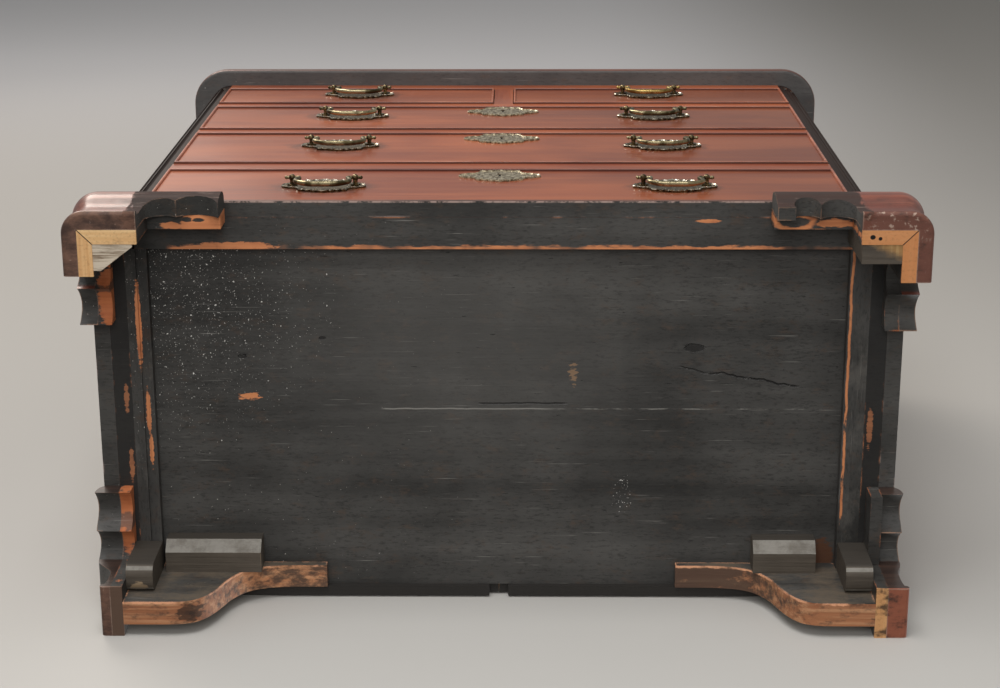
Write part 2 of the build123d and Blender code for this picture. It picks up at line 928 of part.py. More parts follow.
def make_front(name, left, right, low, high, posts, locked):
    """A drawer front, stepped back for its beads, with sockets, a groove and its bores."""
    edge = bead_width + joint_gap
    side_top = high - side_drop
    groove_low = low + drawer_bottom_lift - joint_gap
    groove_high = groove_low + drawer_bottom_thickness + joint_gap * 2
    with BuildPart() as front:
        block(
            (left, right), (front_y + bead_depth + joint_gap, front_y + front_thickness), (low, high)
        )
        block(
            (left + edge, right - edge),
            (front_y, front_y + bead_depth + joint_gap),
            (low + edge, high - edge),
        )
        tails(left + box_board, -1, low, side_top, Mode.SUBTRACT)
        tails(right - box_board, 1, low, side_top, Mode.SUBTRACT)
        block(
            (left + box_board - groove_depth, right - box_board + groove_depth),
            (front_y + front_thickness - groove_depth - joint_gap, front_y + front_thickness + overrun),
            (groove_low, groove_high),
            mode=Mode.SUBTRACT,
        )
        bores(posts, shank_radius + joint_gap, -overrun, front_thickness + overrun)
        if locked:
            keyhole(high - keyhole_drop, -overrun, front_thickness)
            block(
                (-lock_width / 2 - lock_gap, lock_width / 2 + lock_gap),
                (front_y + lock_pocket_depth, front_y + front_thickness + overrun),
                (high - lock_height - lock_gap, high + overrun),
                mode=Mode.SUBTRACT,
            )
    save(front, f"{name}_front")


def make_box(name, left, right, low, high):
    """A drawer's two sides, its back over the bottom, and the bottom in its grooves."""
    box_back = front_y + box_length
    bottom_low = low + drawer_bottom_lift
    bottom_high = bottom_low + drawer_bottom_thickness
    with BuildPart() as box:
        for outer, side in ((left, -1), (right, 1)):
            inner = outer - side * box_board
            block((inner, outer), (front_y + front_thickness, box_back), (low, high - side_drop))
            tails(inner, side, low, high - side_drop, Mode.ADD)
            block(
                (inner - side * overrun, inner + side * groove_depth),
                (front_y, box_back + overrun),
                (bottom_low - joint_gap, bottom_high + joint_gap),
                mode=Mode.SUBTRACT,
            )
        block(
            (left + box_board + joint_gap, right - box_board - joint_gap),
            (box_back - box_board, box_back),
            (bottom_high + joint_gap, high - back_drop),
        )
        block(
            (
                left + box_board - groove_depth + joint_gap,
                right - box_board + groove_depth - joint_gap,
            ),
            (front_y + front_thickness - groove_depth, box_back),
            (bottom_low, bottom_high),
        )
    save(box, f"{name}_box")


def make_beads(name, left, right, low, high):
    """Four cock beads with rounded noses, mitred at the corners of the front."""
    nose = min(bead_nose, bead_width / 2 - joint_gap)
    with BuildPart() as beads:
        with BuildSketch(facing(bead_depth)):
            for outer, inner in ((high, high - bead_width), (low, low + bead_width)):
                with BuildLine():
                    Polyline(
                        (left, outer),
                        (right, outer),
                        (right - bead_width, inner),
                        (left + bead_width, inner),
                        close=True,
                    )
                make_face()
            for outer, inner in ((left, left + bead_width), (right, right - bead_width)):
                with BuildLine():
                    Polyline(
                        (outer, low + joint_gap),
                        (outer, high - joint_gap),
                        (inner, high - bead_width - joint_gap),
                        (inner, low + bead_width + joint_gap),
                        close=True,
                    )
                make_face()
        extrude(amount=bead_depth + bead_proud)
        front_edges = beads.edges().group_by(Axis.Y)[0]
        fillet(front_edges.filter_by(Axis.X) + front_edges.filter_by(Axis.Z), radius=nose)
    save(beads, f"{name}_beads")


def turn_post(place):
    """Turn a post, its ball, neck, collar and shank, and bore its head for the bail's pin."""
    x, z = place
    ball_y = front_y - post_reach
    ball_end = ball_y + (post_ball_radius**2 - post_neck_radius**2) ** (1 / 2)
    collar_back = front_y - plate_thickness - joint_gap
    collar_front = collar_back - post_collar_thickness
    shank_end = front_y + nut_depth + nut_thickness + joint_gap
    with BuildSketch(Plane.YZ.offset(x)) as profile:
        with BuildLine():
            ThreePointArc(
                (ball_y - post_ball_radius, z),
                (ball_y, z + post_ball_radius),
                (ball_end, z + post_neck_radius),
            )
            Polyline(
                (ball_end, z + post_neck_radius),
                (collar_front, z + post_neck_radius),
                (collar_front, z + post_collar_radius),
                (collar_back, z + post_collar_radius),
                (collar_back, z + shank_radius),
                (shank_end, z + shank_radius),
                (shank_end, z),
                (ball_y - post_ball_radius, z),
            )
        make_face()
    revolve(profile.sketch, axis=Axis((x, front_y, z), (0, 1, 0)))
    with Locations((x, ball_y, z)):
        Cylinder(
            bail_pin_radius + bail_pin_clearance,
            (post_ball_radius + bail_end_gap) * 2,
            rotation=(0, 90, 0),
            mode=Mode.SUBTRACT,
        )


def make_pull_mounts(name, centres, posts):
    """Back plates with their posts, and the nuts that hold them inside the drawer."""
    with BuildPart() as mounts:
        for x, z in centres:
            extrude(
                plate_outline((x, z - pivot_above_plate), plate_width, plate_height),
                amount=plate_thickness,
            )
        bores(posts, shank_radius + joint_gap, -overrun, overrun)
        for post in posts:
            turn_post(post)
    with BuildPart() as nuts:
        with BuildSketch(facing(nut_depth + nut_thickness)) as squares:
            with Locations(*posts):
                Rectangle(nut_width, nut_width)
        extrude(squares.sketch, amount=nut_thickness)
        bores(posts, shank_radius + joint_gap, 0, nut_depth + nut_thickness + overrun)
    with BuildPart() as all_mounts:
        add(mounts.part)
        add(nuts.part)
    save(all_mounts, f"{name}_pull_mounts")


def make_bail(name, centre):
    """A swan-necked bail on pins that turn in the posts' heads, with a knob on each end."""
    middle_x, pivot_z = centre
    half_spacing = post_spacing / 2
    bail_y = front_y - post_reach
    wire_start = half_spacing - post_ball_radius - bail_end_gap
    knob_x = half_spacing + post_ball_radius + bail_end_gap + bail_knob_radius
    right_points = [(wire_start, 0)] + [(half_spacing * x, -bail_drop * z) for x, z, _ in bail_path_shares]
    left_points = [(-x, z) for x, z in reversed(right_points)]
    points = [(middle_x + x, pivot_z + z) for x, z in right_points + left_points]
    right_radii = [bail_drop * share for _, _, share in bail_path_shares]
    radii = right_radii + right_radii[::-1]
    with BuildPart() as bail:
        with BuildLine(facing(-post_reach)) as path:
            FilletPolyline(*points, radius=radii)
        for share, radius in ((0, bail_end_radius), (1 / 2, bail_middle_radius), (1, bail_end_radius)):
            with BuildSketch(Plane(origin=path.line @ share, z_dir=path.line % share)):
                Circle(radius)
        sweep(path=path.line, multisection=True)
        for side in (-1, 1):
            pin_middle = middle_x + side * (wire_start + knob_x) / 2
            with Locations((pin_middle, bail_y, pivot_z)):
                Cylinder(bail_pin_radius, knob_x - wire_start, rotation=(0, 90, 0))
            with Locations((middle_x + side * knob_x, bail_y, pivot_z)):
                Sphere(bail_knob_radius)
    save(bail, f"{name}_bail")


def make_lock(name, high):
    """A long drawer's escutcheon, its lock in the front's pocket, and the lock's bolt."""
    keyhole_z = high - keyhole_drop
    with BuildPart() as escutcheon:
        middle = (0, high - escutcheon_drop - escutcheon_height / 2)
        extrude(
            plate_outline(middle, escutcheon_width, escutcheon_height), amount=escutcheon_thickness
        )
        keyhole(keyhole_z, -overrun, overrun)
    save(escutcheon, f"{name}_escutcheon")
    slot_low = high - bolt_height - bolt_travel
    with BuildPart() as lock:
        block(
            (-lock_width / 2, lock_width / 2),
            (front_y + lock_pocket_depth + lock_gap, front_y + front_thickness - lock_gap),
            (high - lock_height, high - lock_gap),
        )
        block(
            (-bolt_width / 2 - lock_gap, bolt_width / 2 + lock_gap),
            (front_y + bolt_front - lock_gap, front_y + bolt_front + bolt_thickness + lock_gap),
            (slot_low, high + overrun),
            mode=Mode.SUBTRACT,
        )
        keyhole(keyhole_z, 0, bolt_front)
    save(lock, f"{name}_lock")
    with BuildPart() as bolt:
        block(
            (-bolt_width / 2, bolt_width / 2),
            (front_y + bolt_front, front_y + bolt_front + bolt_thickness),
            (high - lock_gap - bolt_height, high - lock_gap),
        )
    save(bolt, f"{name}_bolt")


def make_drawer(name, left, right, row, pulls, locked):
    """One drawer of a row between two sides of its opening, with its hardware."""
    shelf_low, head_low, _ = row
    low = shelf_low + running_gap
    high = head_low - head_gap
    pivot_z = (low + high) / 2 + pull_above_middle + pivot_above_plate
    centres = {label: (x, pivot_z) for label, x in pulls.items()}
    posts = [(x + sign * post_spacing / 2, z) for x, z in centres.values() for sign in (-1, 1)]
    make_front(name, left + side_gap, right - side_gap, low, high, posts, locked)
    make_box(name, left + side_gap, right - side_gap, low, high)
    make_beads(name, left + side_gap, right - side_gap, low, high)
    make_pull_mounts(name, centres.values(), posts)
    for label, centre in centres.items():
        make_bail(name + label, centre)
    if locked:
        make_lock(name, high)


short_middle = (column_x + stile_width / 2) / 2
make_drawer("left_short", -column_x, -stile_width / 2, rows[3], {"": -short_middle}, False)
make_drawer("right_short", stile_width / 2, column_x, rows[3], {"": short_middle}, False)
for drawer_name, drawer_row in (("upper_long", rows[2]), ("middle_long", rows[1]), ("lower_long", rows[0])):
    pull_places = {"_left": -long_pull_x, "_right": long_pull_x}
    make_drawer(drawer_name, -column_x, column_x, drawer_row, pull_places, True)
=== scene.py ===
# %% [markdown]
# An antique mahogany chest of drawers, dressed in Blender around its CAD frame. The frame gives
# every board, drawer and joint at its real size, so this script adds what the eye sees on top:
# old polish, black stain, worn arrises, dark brass and small broken places. Everything is in
# metres, with the chest standing upright and its drawer fronts towards -Y.

# %% Load the frame
import math
import bmesh
import bpy
from mathutils import Matrix, Vector


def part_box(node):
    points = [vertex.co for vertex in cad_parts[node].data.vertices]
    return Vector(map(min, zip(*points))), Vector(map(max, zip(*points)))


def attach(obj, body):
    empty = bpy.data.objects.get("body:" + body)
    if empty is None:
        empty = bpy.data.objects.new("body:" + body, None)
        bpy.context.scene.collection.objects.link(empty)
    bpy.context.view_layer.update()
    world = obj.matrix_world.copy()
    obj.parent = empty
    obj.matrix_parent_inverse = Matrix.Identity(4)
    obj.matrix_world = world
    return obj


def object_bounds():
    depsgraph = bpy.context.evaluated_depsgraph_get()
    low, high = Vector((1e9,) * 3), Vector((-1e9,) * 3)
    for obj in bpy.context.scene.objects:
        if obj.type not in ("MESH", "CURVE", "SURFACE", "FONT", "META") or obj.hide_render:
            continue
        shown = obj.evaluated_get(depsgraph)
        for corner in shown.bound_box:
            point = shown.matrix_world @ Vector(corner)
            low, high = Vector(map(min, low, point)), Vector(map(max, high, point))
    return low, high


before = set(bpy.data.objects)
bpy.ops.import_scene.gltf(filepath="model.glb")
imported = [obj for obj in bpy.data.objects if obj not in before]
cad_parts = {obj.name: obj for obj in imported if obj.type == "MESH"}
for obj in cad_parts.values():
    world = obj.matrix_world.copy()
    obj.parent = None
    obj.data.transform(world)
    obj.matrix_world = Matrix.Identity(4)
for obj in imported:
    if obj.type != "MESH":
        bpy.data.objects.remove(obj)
cad_bounds = [list(corner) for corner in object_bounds()]

# %% [markdown]
# The camera stands where the photographer stood. The chest lay on its back, so in the chest's
# own frame the camera looks up along +Z from below the feet, with the drawer fronts at the top
# of the picture. A direction and an up vector say this better than three angles would: the
# camera's own axes are written straight into its matrix.

# %% Camera
camera_place = Vector((0.028, -0.74715, -2.0526))
camera_forward = Vector((-0.01144, 0.30182, 0.95330)).normalized()
camera_up = Vector((-0.00122, -0.95336, 0.30183))
picture_width = 1000
focal_pixels = 2032.65

lens = bpy.data.cameras.new("camera")
camera = bpy.data.objects.new("camera", lens)
bpy.context.scene.collection.objects.link(camera)
bpy.context.scene.camera = camera
lens.lens = lens.sensor_width * focal_pixels / picture_width
camera_right = camera_forward.cross(camera_up).normalized()
camera_up = camera_right.cross(camera_forward)
camera.matrix_world = Matrix.Translation(camera_place) @ Matrix(
    (camera_right, camera_up, -camera_forward)
).transposed().to_4x4()
print("lens", round(lens.lens, 2), "mm")

# %% [markdown]
# Shader maths reads best as Python. A Signal wraps one socket of a material, and its operators
# add Math nodes, so `1 - mask` or `grain * 0.4 + wear` says what the node tree does. The
# reflected operators are there for a plain number that stands on the left.

# %% Signals


class Signal:
    """A socket of a finish. Python's operators on it add Math nodes."""

    def __init__(self, finish, socket):
        self.finish = finish
        self.socket = socket

    def math(self, operation, *others):
        return self.finish.math(operation, self, *others)

    def __add__(self, other):
        return self.math("ADD", other)

    __radd__ = __add__

    def __sub__(self, other):
        return self.math("SUBTRACT", other)

    def __rsub__(self, other):
        return self.finish.math("SUBTRACT", other, self)

    def __mul__(self, other):
        return self.math("MULTIPLY", other)

    __rmul__ = __mul__

    def __truediv__(self, other):
        return self.math("DIVIDE", other)

    def __neg__(self):
        return self.math("MULTIPLY", -1)

    def __abs__(self):
        return self.math("ABSOLUTE")

    def at_least(self, other):
        return self.math("MAXIMUM", other)

    def at_most(self, other):
        return self.math("MINIMUM", other)

    def rise(self, low, high):
        """0 below low, 1 above high, with a smooth step between. Low may be the larger one."""
        settings = {"interpolation_type": "SMOOTHSTEP"}
        return self.finish.node(
            "ShaderNodeMapRange", settings, {"Value": self, "From Min": low, "From Max": high}
        )

    def band(self, centre, half_width, soft):
        """1 within half a width of a centre, fading over a soft edge."""
        return abs(self - centre).rise(half_width + soft, half_width)


print("a Signal knows", [name for name in vars(Signal) if not name.startswith("__")])

# %% [markdown]
# A Finish is one material. Its node method makes any node from its type, its settings and its
# inputs, and the other methods are built on it. Each finish reads Object coordinates, so a mark
# has a place on the chest, in metres. A blot and a scratch are such marks on the underside,
# where X runs along the front and Y runs from the front to the back.

# %% Finishes


class Finish:
    """A procedural material that reads Object coordinates."""

    def __init__(self, name, **constants):
        self.material = bpy.data.materials.new(name)
        self.material.use_nodes = True
        self.tree = self.material.node_tree
        self.shader = self.tree.nodes["Principled BSDF"]
        for socket, value in constants.items():
            self.shader.inputs[socket.replace("_", " ")].default_value = value
        self.place = self.node("ShaderNodeTexCoord", output="Object")
        self.facing = self.node("ShaderNodeTexCoord", output="Normal")
        self.x, self.y, self.z = self.split(self.place)
        self.facing_x, self.facing_y, self.facing_z = self.split(self.facing)

    def node(self, kind, settings=None, inputs=None, output=0):
        made = self.tree.nodes.new(kind)
        for key, value in (settings or {}).items():
            setattr(made, key, value)
        for key, value in (inputs or {}).items():
            if isinstance(value, Signal):
                self.tree.links.new(value.socket, made.inputs[key])
            else:
                made.inputs[key].default_value = value
        return Signal(self, made.outputs[output])

    def math(self, operation, *values):
        return self.node("ShaderNodeMath", {"operation": operation}, dict(enumerate(values)))

    def split(self, vector):
        return [self.node("ShaderNodeSeparateXYZ", None, {0: vector}, axis) for axis in range(3)]

    def noise(self, waves, detail=3.0, roughness=0.5, distortion=0.0):
        """Noise with its own frequency along each axis, in waves a metre."""
        if not isinstance(waves, tuple):
            waves = (waves, waves, waves)
        stretched = self.node(
            "ShaderNodeVectorMath", {"operation": "MULTIPLY"}, {0: self.place, 1: waves}
        )
        inputs = {"Vector": stretched, "Scale": 1.0, "Detail": detail}
        inputs.update({"Roughness": roughness, "Distortion": distortion})
        return self.node("ShaderNodeTexNoise", None, inputs)

    def mix(self, factor, first, second):
        inputs = {0: factor, 6: first, 7: second}
        return self.node("ShaderNodeMix", {"data_type": "RGBA"}, inputs, 2)

    def layers(self, colour, *over):
        """Colours laid over a first one in turn, each by its own mask."""
        for mask, layer in over:
            colour = self.mix(mask, colour, layer)
        return colour

    def feed(self, socket, signal):
        self.tree.links.new(signal.socket, self.shader.inputs[socket])

    def relief(self, height, depth):
        """Feed a height through a Bump node, with its depth in metres."""
        bump = self.node("ShaderNodeBump", None, {"Height": height, "Distance": depth}, "Normal")
        self.feed("Normal", bump)

    def edge(self, radius):
        """How far an edge is near: the Bevel node's rounded normal leaves the true one there."""
        rounded = self.node("ShaderNodeBevel", {"samples": 6}, {"Radius": radius})
        flat = self.node("ShaderNodeNewGeometry", output="True Normal")
        normals = {0: rounded, 1: flat}
        return 1 - self.node("ShaderNodeVectorMath", {"operation": "DOT_PRODUCT"}, normals, "Value")

    def distance(self, centre, reach):
        """How far a place on the underside is from a centre, as a share of the reach."""
        across = (self.x - centre[0]) / reach[0]
        deep = (self.y - centre[1]) / reach[1]
        return (across * across + deep * deep).math("SQRT")

    def blot(self, centre, reach, ragged=1.2):
        """A ragged patch round a place on the underside, with its own reach along X and Y."""
        rough = self.noise((90, 220, 90), 4, 0.65)
        return (self.distance(centre, reach) + (rough - 0.5) * ragged).rise(1.05, 0.8)

    def blots(self, *marks):
        """Several blots as one mask."""
        first, *others = [self.blot(*mark) for mark in marks]
        for other in others:
            first = first.at_least(other)
        return first

    def scratch(self, start, end, width, wander=0.0):
        """A thin line on the underside between two places, as a crack or a scratch runs."""
        slope = (end[1] - start[1]) / (end[0] - start[0])
        drift = (self.noise((45, 1, 1), 3) - 0.5) * wander
        off_line = abs(self.y - start[1] - (self.x - start[0]) * slope + drift)
        fade = 0.004
        starts = self.x.rise(start[0] - fade, start[0] + fade)
        ends = self.x.rise(end[0] + fade, end[0] - fade)
        return off_line.rise(width, width * 0.3) * (starts * ends)


print("a Finish knows", [name for name in vars(Finish) if not name.startswith("__")])

# %% [markdown]
# A colour is easiest to judge as it looks on a screen, from 0 to 255, and Blender wants the
# light that it reflects. The standard curve between the two is close to a power of 2.4.

# %% Tones


def tone(red, green, blue):
    """A screen colour as the light it reflects, with an alpha of 1."""

    def reflected(level):
        share = level / 255
        return share / 12.92 if share <= 0.04045 else ((share + 0.055) / 1.055) ** 2.4

    return (reflected(red), reflected(green), reflected(blue), 1.0)


print("a mid grey of 128 reflects", round(tone(128, 128, 128)[0], 3), "of the light")

# %% [markdown]
# Old mahogany is a red-brown wood with a fine straight grain, short dark pores and a soft
# cloudy figure. All of it runs along the board, so every noise is stretched along the grain:
# few waves a metre that way, many across. One function makes these three layers for every wood
# here, and only the colours change from a polished front to a bare pine block.

# %% Grain
axis_numbers = {"X": 0, "Y": 1, "Z": 2}
# Waves a metre along the grain, and across it.
figure_waves, line_waves, pore_waves = (2.5, 9), (5, 160), (60, 1500)


def grain_waves(grain, along, across):
    """Waves along a grain direction and across it, as a vector."""
    waves = [across, across, across]
    waves[axis_numbers[grain]] = along
    return tuple(waves)


def wood_layers(finish, grain, dark, middle, light, streaks=0.5):
    """Figure, growth lines and pores, as one colour, then the lines and pores themselves."""
    cloud = finish.noise(grain_waves(grain, *figure_waves), 3, 0.55, 0.6)
    lines = finish.noise(grain_waves(grain, *line_waves), 4, 0.6, 0.3)
    pores = finish.noise(grain_waves(grain, *pore_waves), 2, 0.5)
    colour = finish.layers(
        dark,
        (cloud.rise(0.3, 0.72), middle),
        (lines.rise(0.42, 0.7) * streaks, light),
        (pores.rise(0.6, 0.72) * streaks * 0.8, dark),
    )
    return colour, lines, pores


print("growth lines are", round(1000 / line_waves[1], 2), "mm apart")

# %% [markdown]
# Cabinet makers blacked the underside of a chest with a thin stain, so that nobody's eye was
# drawn to the plain boards there. Two centuries later the plane's broad strokes show through it,
# brown and sooty flecks have grown in it, and grit has scratched pale hairlines along the grain.

# %% Black stain
stain_low, stain_high = tone(41, 40, 38), tone(80, 78, 75)
rusty_fleck = tone(82, 64, 50)
soot_black = tone(24, 22, 21)
dust_grey = tone(196, 192, 184)
stroke_waves, scratch_waves = (1.6, 24), (16, 420)
hairline_waves, soot_waves = (14, 600), (110, 380)


def black_stain(finish, grain):
    """The stain with its plane strokes and dust, as a colour and a height."""
    strokes = finish.noise(grain_waves(grain, *stroke_waves), 2, 0.45, 0.5)
    dust = finish.noise(7, 5, 0.6)
    fine = finish.noise(grain_waves(grain, *scratch_waves), 2, 0.5)
    shade = strokes.rise(0.3, 0.72) * 0.55 + dust.rise(0.34, 0.70) * 0.5
    flecks = finish.noise((40, 70, 40), 5, 0.75).rise(0.52, 0.74)
    soot = finish.noise(grain_waves(grain, *soot_waves), 5, 0.75).rise(0.50, 0.36)
    hairlines = finish.noise(grain_waves(grain, *hairline_waves), 3, 0.6).rise(0.66, 0.76)
    grit = finish.noise(330, 2, 0.5).rise(0.735, 0.76) * finish.x.rise(0.1, -0.3)
    colour = finish.layers(
        stain_low,
        (shade + fine.rise(0.4, 0.75) * 0.06, stain_high),
        (flecks * 0.55, rusty_fleck),
        (soot * 0.5, soot_black),
        ((grit * 0.8).at_least(hairlines * 0.3), dust_grey),
    )
    return colour, strokes * 1.5 + fine * 0.15


print("the stain runs from", stain_low[:3], "to", stain_high[:3])

# %% [markdown]
# Bare orange wood shows on every arris that a floor or a hand has rubbed. The stain is a colour
# laid over the wood by a mask, so one finish holds both. The mask comes from the Bevel node: near
# an edge its rounded normal leaves the true one, and noise breaks that line up, because an arris
# never wears evenly.

# %% Bare wood and rubbed edges
bare_orange, bare_brown = tone(210, 134, 86), tone(158, 90, 56)
patch_waves = 26


def bare_wood(finish, grain):
    """Rubbed wood under the stain, with its grain."""
    lines = finish.noise(grain_waves(grain, 9, 300), 3, 0.6)
    blotches = finish.noise(40, 3, 0.6)
    browner = lines.rise(0.4, 0.7) * 0.45 + blotches.rise(0.5, 0.7) * 0.5
    return finish.mix(browner, bare_orange, bare_brown)


def rubbed_edges(finish, reach, low, high):
    """Where an arris is worn: near an edge, broken up by noise."""
    patchy = finish.noise(patch_waves, 5, 0.7)
    return (finish.edge(reach).rise(0.02, 0.3) * patchy.rise(low, high)).at_most(1)


print("worn patches along an arris are about", round(1000 / patch_waves), "mm long")

# %% [markdown]
# The polished pieces carry both: polish on the faces that people see, stain where they look at
# the floor. The object's own normal decides, so a rail is red-brown in front and black below
# without being cut in two. A thin clear coat over the wood gives the long sheen of wax.

# %% Polished wood
red_dark, red_middle, red_light = tone(120, 54, 30), tone(160, 82, 44), tone(190, 112, 66)
case_dark, case_middle, case_light = tone(60, 30, 22), tone(98, 50, 36), tone(136, 78, 55)
# This dark brown serves both for dirt round the pulls and for painted shade on the fronts.
front_dirt_and_shade = tone(64, 32, 20)


def polished(
    name, grain, tones, marks=None, coat=0.35, streaks=0.2, dirt=None,
    over=(0, soot_black), worn=None, ior=1.5,
):
    """Polished wood, stained black below, with marks that say where the stain is rubbed off.

    Over is a share and a colour laid over the stain, and worn is what shows under it.
    """
    finish = Finish(name, Coat_Roughness=0.12, IOR=ior)
    colour, lines, pores = wood_layers(finish, grain, *tones, streaks=streaks)
    colour = finish.mix(rubbed_edges(finish, 0.003, 0.42, 0.7) * 0.5, colour, tones[2])
    # On the drawer fronts this mask holds dirt and painted shade together.
    if dirt:
        colour = finish.mix(dirt(finish), colour, front_dirt_and_shade)
    below = (-finish.facing_z).rise(0.4, 0.8)
    stain, strokes = black_stain(finish, "X")
    rubbed = rubbed_edges(finish, 0.004, 0.52, 0.68)
    if marks:
        rubbed = rubbed.at_least(marks(finish))
    stain = finish.mix(over[0], stain, over[1])
    stain = finish.mix(rubbed, stain, worn or bare_wood(finish, "X"))
    finish.feed("Base Color", finish.mix(below, colour, stain))
    finish.feed("Roughness", 0.34 + lines * 0.14 + below * 0.2)
    finish.feed("Coat Weight", coat - below * coat)
    finish.relief(lines * 0.15 + pores * 0.1 + strokes * below, 0.0005)
    return finish.material


red_tones = (red_dark, red_middle, red_light)
case_tones = (case_dark, case_middle, case_light)
stile_red = polished("stile_red", "Z", red_tones)
top_wood = polished("top_wood", "X", case_tones, streaks=0.5, over=(0.12, tone(120, 112, 114)))
column_tones = (tone(28, 18, 15), tone(40, 26, 22), tone(58, 40, 34))
column_wood = polished("column_wood", "Z", column_tones, coat=0, ior=1.2)
print("polished", stile_red.name, top_wood.name, column_wood.name)

# %% [markdown]
# Three pieces are marked where they were rubbed. The front rail's lower arris has lost its stain
# in a long ragged line, the side panels' lower edges in short marks, and the moulding's front
# arris is chafed pale along its whole length. Each mark is a function of the finish it goes on.

# %% Marks on the rail, sides and moulding
rail_arris_y = -0.17525
rail_left_end = ((-0.292, -0.1785), (0.050, 0.0048), 1.5)
rail_right_scar = ((0.23, -0.207), (0.016, 0.0022))
moulding_arris_y = -0.2268
side_scars = (
    ((0.4165, 0.031), (0.0035, 0.024), 1.8),
    ((-0.4165, -0.004), (0.0030, 0.018), 2.0),
    ((-0.4150, 0.075), (0.0030, 0.020), 2.0),
)


def rail_marks(finish):
    ragged = finish.noise((55, 260, 55), 4, 0.65) * 0.011
    near = (finish.y + ragged).rise(rail_arris_y + 0.001, rail_arris_y + 0.0035)
    along = finish.noise((7, 0.1, 0.1), 4, 0.6).rise(0.4, 0.52)
    marks = near * along * finish.x.rise(-0.365, -0.355)
    return marks.at_least(finish.blots(rail_left_end, rail_right_scar))


def side_marks(finish):
    return finish.blots(*side_scars) * 0.5


def moulding_marks(finish):
    chafed = finish.noise(70, 4, 0.7).rise(0.40, 0.55)
    return finish.y.rise(moulding_arris_y, moulding_arris_y - 0.0012) * chafed


rail_red = polished("rail_red", "X", red_tones, rail_marks)
side_wood = polished(
    "side_wood", "Z", case_tones, side_marks, streaks=0.5, over=(0.8, soot_black)
)
moulding_wood = polished(
    "moulding_wood", "X", case_tones, moulding_marks,
    coat=0.3, streaks=0.5, worn=tone(172, 148, 138),
)
print("marked", rail_red.name, side_wood.name, moulding_wood.name)

# %% [markdown]
# Polish and wax have gone dark round each pull and escutcheon, where a cloth doesn't reach. The
# pulls' places come from the frame's own boxes. A ring's distance is measured across and up, and
# noise is added to it before the edge is cut, so that no two halos have the same outline. The
# fronts are also painted darker towards the top and the right, as painted shade where the lamps
# light them less.

# %% Drawer fronts
pull_boxes = [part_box(name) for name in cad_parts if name.endswith("_pull_mounts")]
pull_heights = sorted({round((low[2] + high[2]) / 2, 4) for low, high in pull_boxes})
half_plate = 0.049
pull_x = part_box("lower_long_pull_mounts")[1][0] - half_plate
halo_reach_x, halo_reach_z = 0.062, 0.034


def waxy_halo(finish):
    across = (abs(finish.x) - pull_x) / halo_reach_x
    ragged = (finish.noise(50, 4, 0.6) - 0.5) * 0.9
    halo = across * 0
    for height in pull_heights:
        up = (finish.z - height) / halo_reach_z
        ring = ((across * across + up * up).math("SQRT") + ragged).rise(1.2, 0.6)
        halo = halo.at_least(ring)
    return halo * 0.75


def drawer_dirt_and_shade(finish):
    # Painted shade: the fronts grow darker towards the top and the right.
    away = finish.z.rise(0.45, 0.85) * 0.20 + finish.x.rise(-0.15, 0.35) * 0.36
    return waxy_halo(finish).at_least(away)


front_wood = polished("front_wood", "X", red_tones, dirt=drawer_dirt_and_shade)
print("pulls stand at heights", pull_heights, "and", round(pull_x, 3), "m from the middle")

# %% [markdown]
# The cock beads are thin strips round each drawer front. They stand proud, and their rounded
# noses carry a painted highlight, while the faces that look down are painted dark, as shade and
# dirt.

# %% Beads
bead_wood = Finish("bead_wood", Roughness=0.3, Coat_Weight=0.4, IOR=1.5)
bead_tones = (tone(116, 54, 36), tone(170, 92, 62), tone(214, 146, 112))
bead_colour, _, _ = wood_layers(bead_wood, "X", *bead_tones)
# Painted highlight on the beads' rounded noses.
bead_painted_highlight = rubbed_edges(bead_wood, 0.0015, 0.35, 0.6)
bead_colour = bead_wood.mix(bead_painted_highlight, bead_colour, tone(236, 190, 164))
# Painted shade and dirt on the beads' faces that look down.
bead_shade_and_dirt = (-bead_wood.facing_z).rise(0.5, 0.85)
bead_wood.feed("Base Color", bead_wood.mix(bead_shade_and_dirt * 0.8, bead_colour, tone(60, 32, 27)))
print("the beads' finish has", len(bead_wood.tree.nodes), "nodes")

# %% [markdown]
# The underside is what the photographer wanted to show. Its one wide board is stained black and
# greyed by dust in the middle. Whitewash has spattered one end: two noises of different size are
# cut so high that only their peaks show, and the distance from a centre lets more peaks through
# there. A few stray specks lie on the other side.

# %% Bottom board and its specks
underside = Finish("underside", IOR=1.5)
board_colour, board_strokes = black_stain(underside, "X")
across_middle = abs(underside.x + 0.04).rise(0.30, 0.02)
dusty_middle = across_middle * abs(underside.y + 0.06).rise(0.20, 0.02)
board_colour = underside.mix(dusty_middle * 0.32, board_colour, tone(112, 109, 105))
spatter_centre, spatter_reach = (-0.365, -0.12), 0.17
thick = underside.distance(spatter_centre, (spatter_reach, spatter_reach)).rise(1.25, 0.2)
spatter = (underside.noise(250, 3, 0.5) + thick * 0.06).rise(0.735, 0.755)
fine_spatter = (underside.noise(600, 2, 0.5) + thick * 0.05).rise(0.73, 0.75)
specks = spatter.at_least(fine_spatter * 0.8) * thick.rise(0.0, 0.12)
stray = underside.noise(520, 2, 0.5).rise(0.66, 0.70)
specks = specks.at_least(stray * underside.blot((0.141, 0.116), (0.011, 0.024), 2.0))
board_colour = underside.mix(specks, board_colour, tone(232, 229, 222))
print("the spatter reaches", spatter_reach, "m round", spatter_centre)

# %% [markdown]
# The board also has a pale line where two planks meet, a small orange scar, a scuff, a brown
# stain of glue, and things that go into the wood: a split, a knot, a shallow crack and nicks.
# Each is a mask with a real place, measured from the middle of the chest, and the deep ones also
# lower the surface.

